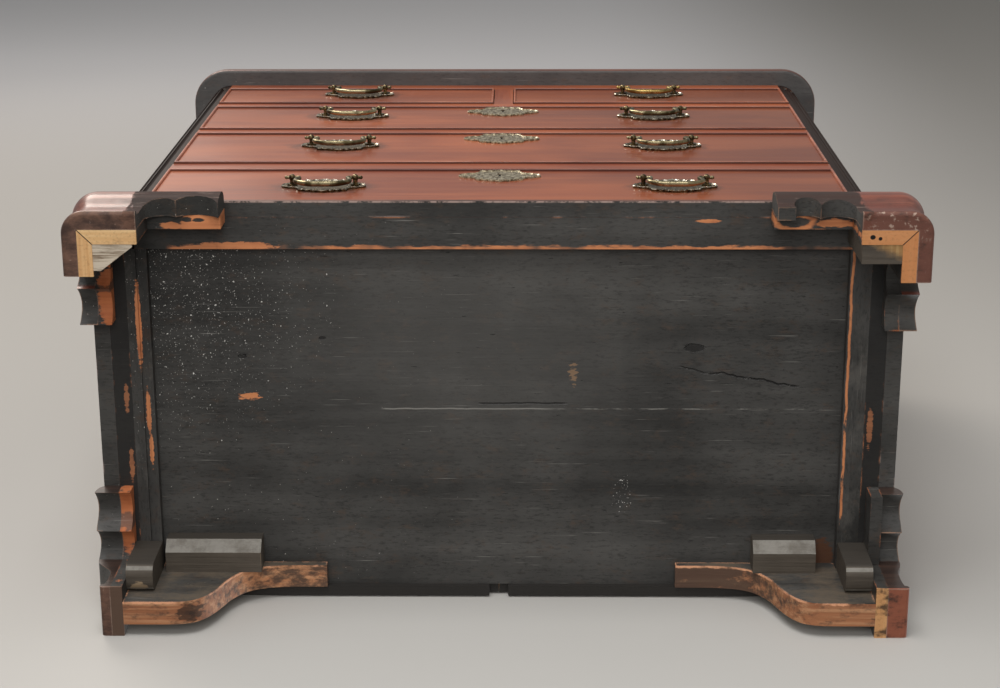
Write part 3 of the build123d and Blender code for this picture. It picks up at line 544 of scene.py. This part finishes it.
# %% Marks and splits in the board
seam = underside.scratch((-0.13, 0.0148), (0.343, 0.0148), 0.0011, 0.0022)
seam_broken = underside.noise((30, 60, 1), 4, 0.65).rise(0.44, 0.64)
seam_shows = seam * seam_broken.at_least(underside.x.rise(0.075, 0.045))
board_colour = underside.mix(seam_shows * 0.7, board_colour, tone(150, 147, 140))
stains = {
    "scar": (((-0.281, 0.0005), (0.012, 0.0045), 2.4), 1.0, bare_orange),
    "scuff": (((0.084, -0.026), (0.005, 0.011), 3.6), 0.7, tone(150, 118, 88)),
    "glue": (((0.372, 0.195), (0.013, 0.024), 1.6), 0.8, tone(92, 54, 28)),
}
for place, strength, colour in stains.values():
    board_colour = underside.mix(underside.blot(*place) * strength, board_colour, colour)
split = underside.scratch((0.205, -0.0345), (0.335, -0.0125), 0.0015, 0.012)
split = split * underside.noise(60, 4, 0.6).rise(0.38, 0.5)
split = split * underside.x.rise(0.20, 0.27).at_least(0.55)
knot = underside.blot((0.2197, -0.0574), (0.012, 0.005), 1.4)
shallow = underside.scratch((-0.02, 0.0085), (0.075, 0.0085), 0.0014, 0.004)
nicks = underside.noise((70, 420, 70), 2, 0.5).rise(0.735, 0.76)
large_nicks = (
    ((-0.287, -0.0473), (0.005, 0.0028), 1.0),
    ((-0.1968, -0.0686), (0.004, 0.0018), 1.0),
)
nicks = nicks.at_least(underside.blots(*large_nicks))
deep = split.at_least(knot * 0.8).at_least(shallow * 0.7).at_least(nicks * 0.8)
underside.feed("Base Color", underside.mix(deep * 0.9, board_colour, soot_black))
underside.feed("Roughness", 0.5 + underside.noise((9, 40, 9), 3) * 0.2)
underside.relief(board_strokes - deep * 3.0, 0.0008)
print("the board carries", ", ".join(stains), "and", len(large_nicks), "large nicks")

# %% [markdown]
# Bearers run from front to back beside the board. Dust lies on them, grit on the left one, and
# the orange line down the right one is where the floor has rubbed its arris for years.

# %% Bearers
bearers = Finish("bearers", IOR=1.5, Roughness=0.6)
bearer_colour, bearer_strokes = black_stain(bearers, "Y")
bearer_dust = bearers.noise((34, 22, 34), 5, 0.7)
bearer_grit = bearers.noise(420, 2, 0.5).rise(0.69, 0.72) * bearers.x.rise(-0.385, -0.39)
right_arris_x, right_worn_end = 0.389, 0.158
wander = (bearers.noise((1, 30, 1), 4, 0.6) - 0.5) * 0.005
right_worn = (bearers.x + wander).band(right_arris_x, 0.0009, 0.0010)
right_worn = right_worn * bearers.y.rise(right_worn_end, right_worn_end - 0.018)
right_worn = right_worn * bearers.noise((60, 25, 60), 4, 0.65).rise(0.34, 0.44)
left_worn = bearers.blots(
    ((-0.3985, -0.088), (0.0032, 0.050), 1.3),
    ((-0.3932, 0.015), (0.0028, 0.030), 1.6),
    ((-0.3920, 0.060), (0.0024, 0.020), 1.8),
)
bearer_colour = bearers.layers(
    bearer_colour,
    (bearer_dust.rise(0.50, 0.70) * 0.45, tone(104, 100, 94)),
    (bearer_dust.rise(0.44, 0.30) * 0.5, tone(70, 48, 34)),
    (bearer_grit * bearers.y.rise(0.12, 0.0), dust_grey),
    (right_worn.at_least(left_worn), bare_wood(bearers, "Y")),
)
bearers.feed("Base Color", bearer_colour)
bearers.relief(bearer_strokes, 0.0006)
print("the right bearer is worn as far back as", right_worn_end, "m")

# %% [markdown]
# The feet are the most handled part. Outside they are polished, their flat soles are worn to a
# grey brown, and their hidden faces still have the stain. The scrolled wings were stained too,
# and they begin at a ragged edge. A sole is known by its height, and an inner face by looking at
# the middle of the chest.

# %% Feet
sole_height = 0.004
wing_start_x, wing_front_y = 0.392, -0.19


def outwards(finish):
    """How far a face looks away from the chest's middle, along X."""
    return finish.facing_x * finish.x.math("SIGN")


def sole_wood(finish, flecks, right_sole):
    """The worn sole, whose right side kept more of its colour."""
    redder = finish.x.rise(0.1, 0.3) * flecks.rise(0.3, 0.5)
    scuffs = finish.noise((240, 120, 240), 3, 0.6).rise(0.66, 0.74) * 0.5
    lip = finish.x.rise(0.375, 0.40) * finish.y.rise(-0.205, -0.222)
    scuffs = scuffs.at_least(lip * finish.noise(130, 4, 0.65).rise(0.56, 0.64) * 0.8)
    worn_rim = rubbed_edges(finish, 0.003, 0.34, 0.6)
    return finish.layers(
        tone(66, 46, 38),
        (flecks.rise(0.34, 0.68), tone(116, 84, 68)),
        (redder * 0.75, right_sole),
        (scuffs.at_least(worn_rim), tone(176, 152, 136)),
    )


def foot_wood(name, tones, stain_from, stain_to, right_sole):
    """A foot's wood. Its stain grows from none to full as a face looks further down."""
    finish = Finish(name, Coat_Roughness=0.2, IOR=1.5)
    colour, lines, pores = wood_layers(finish, "X", *tones)
    grime = finish.noise((22, 22, 30), 5, 0.65)
    wing_edge = (finish.noise((70, 70, 30), 4, 0.6) - 0.5) * 0.03
    wing = (abs(finish.x) + wing_edge).rise(wing_start_x, wing_start_x - 0.005)
    wing = wing * finish.y.rise(wing_front_y, wing_front_y - 0.01)
    wing_scrapes = finish.noise((24, 200, 200), 4, 0.7).rise(0.58, 0.72) * 0.5
    wing_colour = finish.mix(wing_scrapes, tone(42, 34, 31), tone(150, 132, 122))
    hidden = (-finish.facing_z).rise(stain_from, stain_to)
    hidden = hidden.at_least((-outwards(finish)).rise(0.4, 0.8))
    hidden = hidden.at_least(finish.facing_y.rise(0.5, 0.8))
    stain, strokes = black_stain(finish, "X")
    stain = finish.mix(rubbed_edges(finish, 0.003, 0.42, 0.56), stain, tone(160, 126, 104))
    sole = finish.z.rise(sole_height, sole_height / 2)
    flecks = finish.noise((38, 60, 38), 5, 0.68)
    colour = finish.layers(
        colour,
        (rubbed_edges(finish, 0.004, 0.40, 0.62) * 0.7, tones[2]),
        (grime.rise(0.5, 0.72) * 0.55, tone(44, 26, 22)),
        (wing * 0.92, wing_colour),
        (hidden, stain),
        (sole, sole_wood(finish, flecks, right_sole)),
    )
    finish.feed("Base Color", colour)
    finish.feed("Roughness", 0.30 + grime * 0.2 + hidden * 0.2 + sole * 0.1 + wing * 0.6)
    finish.feed("Coat Weight", 0.55 - hidden.at_least(wing) * 0.5)
    finish.relief(lines * 0.2 + pores * 0.1 + strokes * hidden + flecks * 0.6, 0.0006)
    return finish.material


foot_tones = (tone(76, 34, 26), tone(116, 58, 44), tone(160, 94, 72))
foot_red = foot_wood("foot_red", foot_tones, 0.25, 0.6, tone(112, 66, 53))
rear_tones = (tone(42, 31, 27), tone(60, 43, 36), tone(88, 64, 53))
rear_foot_brown = foot_wood("rear_foot_brown", rear_tones, 0.02, 0.2, tone(160, 90, 64))
print("the wings begin", wing_start_x, "m from the middle")

# %% [markdown]
# Pine liners stand behind the wings and share their soles, where the floor has kept the wood
# yellow. The front ones are mitred at the corner, so the grain turns there: a line through the
# corner decides which way it runs, and the joint itself is a thin dark line. The rear soles are
# short ends, dirtier than the front ones.

# %% Liner soles
liners = Finish("liners", IOR=1.45)
mitre_offset, mitre_gap = 0.2175, 0.0011
mitre = abs(liners.x) + liners.y - mitre_offset
is_front = liners.y.rise(-0.16, -0.17)
is_rear = liners.y.rise(0.15, 0.16)
front_pine = (tone(206, 160, 108), tone(238, 196, 138), tone(250, 220, 170))
side_pine = (tone(196, 146, 96), tone(228, 180, 122), tone(244, 206, 152))
along_front, front_lines, _ = wood_layers(liners, "X", *front_pine)
along_side, side_lines, _ = wood_layers(liners, "Y", *side_pine)
browner = liners.x.rise(0.1, 0.3) * (0.75 - is_rear * 0.45)
liner_soot = liners.noise(42, 5, 0.7).rise(0.58, 0.76)
fine_grain = liners.noise((300, 300, 40), 3, 0.6).rise(0.5, 0.7)
nail_holes = liners.blots(
    ((0.3915, -0.2140), (0.0030, 0.0028), 0.5), ((0.3995, -0.2125), (0.0022, 0.0020), 0.5)
)
rear_dirt = is_rear * liners.noise((40, 60, 60), 4, 0.65).rise(0.46, 0.62)
sole_pine = liners.layers(
    along_front,
    (mitre.rise(-0.0002, 0.0002), along_side),
    (browner, tone(200, 126, 74)),
    (abs(mitre).rise(mitre_gap, 0.0003) * is_front, soot_black),
    (liner_soot * 0.55, tone(84, 60, 42)),
    (fine_grain * 0.3, tone(140, 98, 62)),
    (nail_holes, soot_black),
    (rear_dirt * 0.85, tone(54, 42, 34)),
    (liners.x.rise(-0.30, -0.35) * is_rear, tone(96, 74, 60)),
)
print("the mitre crosses X =", mitre_offset, "m at the middle of the chest's depth")

# %% [markdown]
# Above their soles the liners are stained like the rest, and scraped bare where they were
# knocked: all of the left front wing's tail, a ring on the right one, and patches down the
# sides. Two dark knots and two bands of old dirt stay black inside the scraped patches.

# %% Liner bodies
liner_stain, liner_strokes = black_stain(liners, "X")
tail_edge = (liners.noise((60, 120, 60), 4, 0.65) - 0.5) * 0.02
left_tail = (liners.x + tail_edge).rise(-0.341, -0.337) * liners.x.rise(0.0, -0.01)
left_tail = left_tail * is_front
scraped = left_tail.at_least(liners.blot((-0.350, -0.210), (0.014, 0.004), 1.2))
tail_knots = liners.blots(
    ((-0.334, -0.2165), (0.006, 0.0030), 1.2), ((-0.3215, -0.2160), (0.007, 0.0022), 1.2)
)
scraped = scraped * (1 - tail_knots)
right_patch = liners.blot((0.318, -0.2140), (0.026, 0.0100), 0.5)
right_heart = liners.blot((0.318, -0.2140), (0.018, 0.0060), 0.9)
scraped = scraped.at_least(right_patch * (1 - right_heart))
knocks = liners.blots(
    ((0.362, -0.2130), (0.024, 0.0050), 1.8),
    ((-0.425, -0.125), (0.014, 0.036), 1.5),
    ((-0.421, 0.135), (0.014, 0.045), 1.2),
)
scraped = scraped.at_least(knocks).at_least(rubbed_edges(liners, 0.003, 0.5, 0.62))
band_edge = (liners.noise(60, 4, 0.65) - 0.5) * 0.02
dirt_bands = (liners.y + band_edge).band(-0.136, 0.004, 0.003)
dirt_bands = dirt_bands.at_least((liners.y + band_edge).band(0.140, 0.006, 0.003))
scraped = scraped * (1 - dirt_bands * 0.8)
outer_scrapes = abs(liners.x).rise(0.400, 0.405) * scraped * 0.5
liner_sole = liners.z.rise(sole_height, sole_height / 2)
liner_colour = liners.layers(
    liner_stain,
    (scraped, bare_wood(liners, "X")),
    (outer_scrapes, tone(176, 88, 44)),
    (liner_sole, sole_pine),
)
liners.feed("Base Color", liner_colour)
right_rear = liners.x.rise(0.35, 0.40) * is_rear * (1 - liner_sole)
liners.feed("Roughness", 0.68 - right_rear * 0.4)
liners.relief(front_lines * 0.5 + side_lines * 0.3 + liner_strokes * 0.5, 0.0006)
print("the liners' finish has", len(liners.tree.nodes), "nodes")

# %% [markdown]
# The brackets behind the rear feet are plain softwood. Their sawn lower edges are orange brown
# and smudged with soot, most of all on their tails, and the faces that look forwards are nearly
# black. Their front arris is chafed pale, and its place comes from the bracket's own box.

# %% Brackets
brackets = Finish("brackets", Roughness=0.62, IOR=1.45)
sawn_tones = (tone(142, 88, 58), tone(196, 134, 92), tone(226, 176, 132))
edge_wood, edge_lines, _ = wood_layers(brackets, "X", *sawn_tones)
edge_soot = brackets.noise((44, 90, 90), 5, 0.72)
on_tail = abs(brackets.x).rise(0.345, 0.25)
tail_soot = on_tail * (0.13 + brackets.x.rise(-0.1, 0.1) * 0.17)
sooty = (edge_soot + tail_soot).rise(0.47, 0.72)
bracket_knot = brackets.blot((-0.342, 0.2165), (0.014, 0.012), 1.8)
edge_wood = brackets.layers(
    edge_wood,
    (sooty * 0.88, tone(64, 52, 45)),
    (bracket_knot * 0.75, tone(44, 36, 31)),
)
bracket_stain, bracket_strokes = black_stain(brackets, "X")
face_dust = brackets.noise((26, 26, 40), 5, 0.65)
looks_down = (-brackets.facing_z).rise(0.06, 0.22)
bracket_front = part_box("rear_brackets")[0][1]
arris_ragged = (brackets.noise(150, 4, 0.7) - 0.5) * 0.006
arris = (brackets.y + arris_ragged).rise(bracket_front + 0.0028, bracket_front + 0.0014)
broken_up = brackets.noise(22, 4, 0.7).rise(0.42, 0.54)
chafed = arris * looks_down * broken_up
face_edges = brackets.edge(0.005).rise(0.05, 0.16) * (1 - looks_down) * broken_up
chafed = chafed.at_least(face_edges * 0.8)
bracket_colour = brackets.layers(
    bracket_stain,
    (face_dust.rise(0.38, 0.66) * 0.8, tone(100, 88, 74)),
    (face_dust.rise(0.66, 0.78) * 0.5, bare_brown),
    (looks_down, edge_wood),
    (chafed, tone(232, 168, 128)),
)
brackets.feed("Base Color", bracket_colour)
brackets.relief(edge_lines + bracket_strokes * 0.6, 0.0007)
print("the brackets' front arris is at Y =", round(bracket_front, 4), "m")

# %% [markdown]
# The glue blocks have gone grey. The left front one is weathered and split along its grain, and
# the right front one still shows yellow wood where it was chipped. The strips at the back have
# lighter chamfers that look down, painted light with dust on it, and darker steep fronts.

# %% Glue blocks
blocks = Finish("blocks", Roughness=0.7, IOR=1.45)
block_lines = blocks.noise((9, 240, 240), 3, 0.6)
block_dirt = blocks.noise((20, 30, 30), 5, 0.65)
is_left = blocks.x.rise(0.0, -0.01)
is_front_block = blocks.y.rise(-0.14, -0.15)
is_rear_block = blocks.y.rise(0.1, 0.12)
yellow_tones = (tone(150, 112, 68), tone(190, 150, 96), tone(214, 180, 124))
yellow, _, _ = wood_layers(blocks, "Y", *yellow_tones)
downwards = (-blocks.facing_z).rise(0.6, 0.9)
fade = (blocks.x - 0.402) * 12 - (blocks.y + 0.197) * 25
yellow_part = (block_dirt + fade.at_most(0.4)).rise(0.42, 0.85).at_least(is_left) * downwards
weathered = blocks.noise((22, 300, 300), 5, 0.7).rise(0.34, 0.58)
pits = blocks.blots(
    ((-0.398, -0.1845), (0.005, 0.0045), 1.6), ((-0.391, -0.192), (0.006, 0.0025), 1.6)
)
grey_wood = blocks.layers(
    tone(126, 106, 84), (weathered, tone(206, 192, 172)), (pits * 0.85, tone(92, 56, 26))
)
chip = blocks.blot((-0.402, 0.198), (0.010, 0.008), 2.0)
chip = chip.at_least(rubbed_edges(blocks, 0.003, 0.52, 0.64) * 0.6)
# Painted light with dust on the chamfers that look down; the steep fronts are darker.
chamfers = (-blocks.facing_z).band(0.7, 0.12, 0.05) * is_rear_block
chamfer_dust = blocks.noise(60, 5, 0.7).rise(0.30, 0.62)
strip_front = (-blocks.facing_y).rise(0.85, 0.95) * is_rear_block
block_colour = blocks.layers(
    tone(48, 42, 36),
    (block_lines * 0.5 + block_dirt * 0.5, tone(104, 94, 82)),
    (is_front_block * yellow_part, blocks.mix(is_left, yellow, grey_wood)),
    (chip * 0.7, tone(176, 150, 118)),
    (chamfers * (0.35 + chamfer_dust * 0.5), tone(140, 136, 128)),
    (strip_front * 0.6, tone(40, 38, 35)),
)
blocks.feed("Base Color", block_colour)
blocks.relief(block_lines + block_dirt, 0.0007)
print("the blocks' finish has", len(blocks.tree.nodes), "nodes")

# %% [markdown]
# Inside and behind, the chest is pine: yellow where it is fresh, grey and sooty where the room's
# dirt has soaked in along the grain. The back boards are blackened along their lower edge, like
# the underside.

# %% Pine
pine_tones = (tone(134, 98, 62), tone(176, 138, 92), tone(198, 164, 114))


def pine_wood(name, grain, dirt, black_below=0.0):
    """Pine with a share of dirt from 0 to 1, stained below a height."""
    finish = Finish(name, Roughness=0.7, IOR=1.45)
    colour, lines, pores = wood_layers(finish, grain, *pine_tones)
    soot = finish.noise(grain_waves(grain, 2, 16), 5, 0.6)
    colour = finish.mix(soot.rise(0.66 - dirt, 1.02 - dirt) * 0.62, colour, tone(66, 52, 40))
    if black_below:
        stained = finish.z.rise(black_below + 0.01, black_below)
        colour = finish.mix(stained, colour, tone(38, 35, 32))
    finish.feed("Base Color", colour)
    finish.relief(lines * 0.6 + pores * 0.3, 0.0006)
    return finish.material


stained_height = 0.125
pine_across = pine_wood("pine_across", "X", 0.15)
pine_deep = pine_wood("pine_deep", "Y", 0.12)
pine_upright = pine_wood("pine_upright", "Z", 0.2)
back_pine = pine_wood("back_pine", "Z", 0.34, black_below=stained_height)
print("the back is stained up to", stained_height, "m")

# %% [markdown]
# The brass has not been polished for years. It is nearly black in its hollows and shows metal
# where fingers and drawer edges rub it, and a painted highlight is laid on its edges with that
# wear. Metal has no colour of its own under the tarnish, so the shine is in how rough each place
# is as much as in its tone. The locks and nails are iron, browned by rust and duller.

# %% Metal


def old_brass(name, dark, bright, shine, cells, metallic=1.0):
    """Brass with patches of tarnish, as many cells of them to the metre."""
    finish = Finish(name, Metallic=metallic)
    patches = finish.noise(cells, 3, 0.6, 0.4)
    # Edges are rubbed metal and also carry a painted highlight.
    rubbed = finish.edge(0.0012).rise(0.04, 0.4)
    glow = (patches.rise(0.40, 0.62) * shine + rubbed * 0.5).at_most(1)
    finish.feed("Base Color", finish.mix(glow, dark, bright))
    finish.feed("Roughness", 0.36 - glow * 0.16)
    finish.relief(patches, 0.0003)
    return finish.material


dark_brass = old_brass("dark_brass", tone(74, 63, 46), tone(150, 134, 100), 0.8, 150)
bail_brass = old_brass("bail_brass", tone(78, 70, 48), tone(196, 184, 146), 0.9, 40)
gold_brass = old_brass("gold_brass", tone(130, 104, 56), tone(236, 206, 132), 0.9, 40)
pale_brass = old_brass("pale_brass", tone(92, 82, 62), tone(206, 194, 166), 0.95, 230, 0.7)
# Near-white dots in the rims' brass are painted highlight.
rim_brass_glint = old_brass("rim_brass_glint", tone(58, 50, 38), tone(250, 244, 226), 1.0, 330)

iron = Finish("iron", Metallic=0.85)
rust = iron.noise(120, 4, 0.65)
iron.feed("Base Color", iron.mix(rust.rise(0.4, 0.7), tone(54, 48, 44), tone(104, 84, 68)))
iron.feed("Roughness", 0.5 + rust * 0.2)
iron.relief(rust, 0.0004)
print("there are", len(bpy.data.materials), "finishes so far")

# %% [markdown]
# Every node of the frame gets the finish that its piece has on the real chest. The frame's
# names say what each piece is, and pieces that come in twos or fives are matched by the end of
# their name. One bail is of yellower brass, so it is named in full.

# %% Dress the frame
finish_of = {
    "top_board": top_wood,
    "quarter_columns": column_wood,
    "corner_posts": pine_upright,
    "drawer_rails": rail_red,
    "centre_stile": stile_red,
    "drawer_runners": pine_deep,
    "drawer_guides": pine_deep,
    "drawer_stops": pine_across,
    "dust_boards": pine_across,
    "bottom_board": underside.material,
    "bottom_bearers": bearers.material,
    "back_boards": back_pine,
    "base_moulding": moulding_wood,
    "foot_liners": liners.material,
    "rear_brackets": brackets.material,
    "glue_blocks": blocks.material,
    "right_short_bail": gold_brass,
}
finish_by_ending = {
    "_side": side_wood,
    "_front_foot": foot_red,
    "_rear_foot_facing": rear_foot_brown,
    "_front": front_wood,
    "_box": pine_deep,
    "_beads": bead_wood.material,
    "_pull_mounts": dark_brass,
    "_bail": bail_brass,
    "_escutcheon": pale_brass,
    "_lock": iron.material,
    "_bolt": iron.material,
}
for name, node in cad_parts.items():
    by_ending = [m for ending, m in finish_by_ending.items() if name.endswith(ending)]
    material = finish_of.get(name) or by_ending[0]
    node.data.materials.clear()
    node.data.materials.append(material)
print("dressed", len(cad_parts), "nodes")

# %% [markdown]
# Brass founders left a raised rim round each plate and filed it thin, and it is this rim that
# flashes in the light. A rim could be drawn again from the plate's measures, but the CAD plate
# already has them, so its outline is read from there: the edges that only one triangle of its
# front face uses. Walking from corner to corner sorts them into loops, and the small loops, of
# keyholes and posts, are left out.

# %% Outlines of the brass plates
facing_front = -0.99
least_plate = 0.03


def front_plane(node):
    """The Y of a node's largest flat front, which is the front of its plates."""
    areas = {}
    for face in node.data.polygons:
        if face.normal.y < facing_front:
            place = round(face.center.y, 5)
            areas[place] = areas.get(place, 0) + face.area
    return max(areas, key=areas.get)


def is_on(face, front):
    return face.normal.y < facing_front and abs(face.calc_center_median().y - front) < 1e-5


def plate_loops(node):
    """The outer edge loops of the plates' front faces, as lists of places."""
    front = front_plane(node)
    plates = bmesh.new()
    plates.from_mesh(node.data)
    edges = [e for e in plates.edges if [is_on(f, front) for f in e.link_faces].count(True) == 1]
    loops = []
    while edges:
        corners = list(edges.pop().verts)
        while onward := [e for e in corners[-1].link_edges if e in edges]:
            edges.remove(onward[0])
            corners.append(onward[0].other_vert(corners[-1]))
        loop = [corner.co.copy() for corner in corners[:-1]]
        if max(p.x for p in loop) - min(p.x for p in loop) > least_plate:
            loops.append(loop)
    plates.free()
    return loops


brass_plates = {
    name: plate_loops(node)
    for name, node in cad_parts.items()
    if name.endswith(("_pull_mounts", "_escutcheon"))
}
print("outlines:", {name: [len(loop) for loop in loops] for name, loops in brass_plates.items()})

# %% [markdown]
# Each outline is extruded twice, the rings a little smaller each time and the middle one proud
# of the plate, and the last ring is bridged back to the first, which closes a rim with a ridge.
# The pulls' rims are in a brighter brass than the escutcheons', with near-white dots of painted
# highlight.

# %% Raised rims on the brass
rim_rise = 0.0010
rim_steps = ((0.978, rim_rise), (0.966, -rim_rise))


def piece_from(name, made, material):
    """An object made of a bmesh, in one material."""
    mesh = bpy.data.meshes.new(name)
    made.to_mesh(mesh)
    made.free()
    mesh.materials.append(material)
    piece = bpy.data.objects.new(name, mesh)
    bpy.context.scene.collection.objects.link(piece)
    return piece


def rims(name, loops, material, body):
    """Closed rims along loops, as one piece that moves with its drawer."""
    made = bmesh.new()
    for loop in loops:
        middle = Matrix.Translation(-sum(loop, Vector()) / len(loop))
        corners = [made.verts.new(point) for point in loop]
        outer = [made.edges.new(pair) for pair in zip(corners, corners[1:] + corners[:1])]
        inner = outer
        for share, rise in rim_steps:
            grown = bmesh.ops.extrude_edge_only(made, edges=inner)["geom"]
            ring = [part for part in grown if isinstance(part, bmesh.types.BMVert)]
            inner = [e for e in made.edges if e.verts[0] in ring and e.verts[1] in ring]
            bmesh.ops.scale(made, vec=(share, 1, share), space=middle, verts=ring)
            bmesh.ops.translate(made, vec=(0, -rise, 0), verts=ring)
        bmesh.ops.bridge_loops(made, edges=outer + inner)
    bmesh.ops.recalc_face_normals(made, faces=made.faces)
    piece = piece_from(name, made, material)
    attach(piece, body)


for name, loops in brass_plates.items():
    material = pale_brass if name.endswith("_escutcheon") else rim_brass_glint
    drawer = name.removesuffix("_pull_mounts").removesuffix("_escutcheon")
    rims(name + "_rim", loops, material, drawer + "_drawer")
print("the rims stand", rim_rise * 1000, "mm proud of", len(brass_plates), "sets of plates")

# %% [markdown]
# The back boards are held by hand-made nails, driven along both sides and along the top. A
# nail's head is a low dome with a few hammer flats, turned here by spinning a short profile in
# eight steps. The spin leaves doubled corners on its axis, which are merged before the normals
# are worked out again.

# %% Nails in the back
nail_radius, nail_rise, nail_sink = 0.0032, 0.0009, 0.0010
nail_flats = 8
nail_profile = [
    (0, nail_rise),
    (nail_radius * 0.55, nail_rise * 0.8),
    (nail_radius, 0),
    (nail_radius, -nail_sink),
    (0, -nail_sink),
]
back_low, back_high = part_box("back_boards")
from_side, from_top = 0.006, 0.012
nails_up_a_side = 9
top_nails = (0.06, 0.17, 0.28)


def nail_head(made, x, z):
    """A faceted head whose domed side looks towards +Y."""
    place = Vector((x, back_high[1], z))
    corners = [made.verts.new(place + Vector((radius, rise, 0))) for radius, rise in nail_profile]
    edges = [made.edges.new(pair) for pair in zip(corners, corners[1:])]
    turn = {"cent": place, "axis": (0, 1, 0), "angle": math.tau, "steps": nail_flats}
    bmesh.ops.spin(made, geom=corners + edges, use_merge=True, **turn)


spacing = (back_high[2] - back_low[2]) / nails_up_a_side
nail_heights = [back_low[2] + spacing * (step + 0.5) for step in range(nails_up_a_side)]
made = bmesh.new()
for side in (-1, 1):
    for height in nail_heights:
        nail_head(made, side * (back_high[0] - from_side), height)
    for x in top_nails:
        nail_head(made, side * x, back_high[2] - from_top)
bmesh.ops.remove_doubles(made, verts=made.verts, dist=1e-6)
bmesh.ops.recalc_face_normals(made, faces=made.faces)
nails = piece_from("back_nails", made, iron.material)
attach(nails, "carcase")
print("drove", 2 * (nails_up_a_side + len(top_nails)), "nails")

# %% [markdown]
# The chest lay on a pale floor, which in its own frame is an upright plane at its back. The
# plane is see-through from behind, and a second one lies under the feet for the views that show
# the chest standing. Both are stage, so they aren't part of the object. The upright plane's tone
# holds painted shade at the far right, and a little at the left, where the studio was darker,
# and painted light below the feet and far above the chest.

# %% Floor
floor_lit_near, floor_tone = tone(190, 187, 182), tone(173, 170, 165)
floor_lit_far, floor_shade_tone = tone(205, 205, 208), tone(150, 148, 145)
floor_reach = 14.0


def floor_finish(name, shaded):
    """A pale floor, see-through from its back, with painted light and painted shade in its tone
    where shaded is 1.
    """
    finish = Finish(name, Roughness=0.7)
    # Painted shade at the far right and left, and painted light below the feet and far above.
    painted_shade_right = finish.x.rise(0.2, 1.3) * finish.z.rise(0.3, 2.4)
    painted_shade_left = finish.x.rise(-0.2, -0.7) * finish.z.rise(4.0, 2.0) * 0.42
    colour = finish.layers(
        floor_tone,
        (finish.z.rise(0.6, -0.3) * shaded, floor_lit_near),
        (finish.z.rise(1.5, 4.0) * shaded, floor_lit_far),
        (painted_shade_right * shaded, floor_shade_tone),
        (painted_shade_left * shaded, floor_shade_tone),
    )
    finish.feed("Base Color", colour)
    solid = Signal(finish, finish.shader.outputs[0])
    clear = finish.node("ShaderNodeBsdfTransparent")
    behind = finish.node("ShaderNodeNewGeometry", output="Backfacing")
    shown = finish.node("ShaderNodeMixShader", None, {0: behind, 1: solid, 2: clear})
    surface = finish.tree.nodes["Material Output"].inputs["Surface"]
    finish.tree.links.new(shown.socket, surface)
    return finish.material


def stage_plane(name, matrix, shaded):
    """A wide plane that shows to the camera and darkens nothing."""
    made = bmesh.new()
    bmesh.ops.create_grid(made, x_segments=1, y_segments=1, size=floor_reach, matrix=matrix)
    plane = piece_from(name, made, floor_finish(name, shaded))
    plane.visible_diffuse = False
    plane.visible_shadow = False


back_of_chest = cad_bounds[1][1]
upright = Matrix.Rotation(math.pi / 2, 4, "X")
stage_plane("floor_behind", Matrix.Translation((0, back_of_chest, 0)) @ upright, 1)
stage_plane("floor_below", Matrix.Identity(4), 0)
print("the upright plane stands at Y =", round(back_of_chest, 4), "m")

# %% [markdown]
# A furniture studio lights dark wood with large soft sources. The key is above the chest in the
# picture, towards its fronts. A warm one at the far left flashes on the left foot, and a weak
# warm one beyond it lays the long sheen on the drawer fronts. One near the camera opens up the
# black underside, and one at the back serves the views from behind.

# %% Light
warm, neutral = (1.0, 0.91, 0.82), (1.0, 1.0, 1.0)
# Where each lamp is, where it looks, its width in metres, its watts and its colour.
lamps = {
    "key": ((-0.4, -3.2, -0.6), (0, 0, 0.4), 2.4, 96, neutral),
    "far_left": ((-1.5, -2.45, 2.5), (0, -0.1, 0.4), 1.5, 50, warm),
    "sheen": ((-1.3, -1.15, 3.1), (-0.2, -0.2, 0.3), 1.3, 3.2, warm),
    "near": ((-0.1, -1.8, -3.2), (0, 0, 0.2), 1.8, 42, neutral),
    "back": ((2.4, 2.6, 1.6), (0, 0.2, 0.5), 2.0, 75, neutral),
}


def soft_lamp(name, place, target, size, watts, colour):
    """A square softbox that the camera doesn't see."""
    light = bpy.data.lights.new(name, "AREA")
    light.shape = "SQUARE"
    light.size = size
    light.energy = watts
    light.color = colour
    lamp = bpy.data.objects.new(name, light)
    bpy.context.scene.collection.objects.link(lamp)
    turned = (Vector(target) - Vector(place)).to_track_quat("-Z", "Y")
    lamp.matrix_world = Matrix.Translation(place) @ turned.to_matrix().to_4x4()
    lamp.visible_camera = False


for name, lamp in lamps.items():
    soft_lamp(name, *lamp)
world = bpy.data.worlds.new("studio")
bpy.context.scene.world = world
world.use_nodes = True
sky = world.node_tree.nodes["Background"]
sky.inputs["Color"].default_value = tone(210, 208, 204)
sky.inputs["Strength"].default_value = 0.45
print("lit by", ", ".join(lamps), "and a dim pale sky")

# %% [markdown]
# Last come the colour settings. The picture keeps Blender's Standard view, so a tone in this
# script is the tone seen.

# %% Colour management
bpy.context.scene.view_settings.view_transform = "Standard"
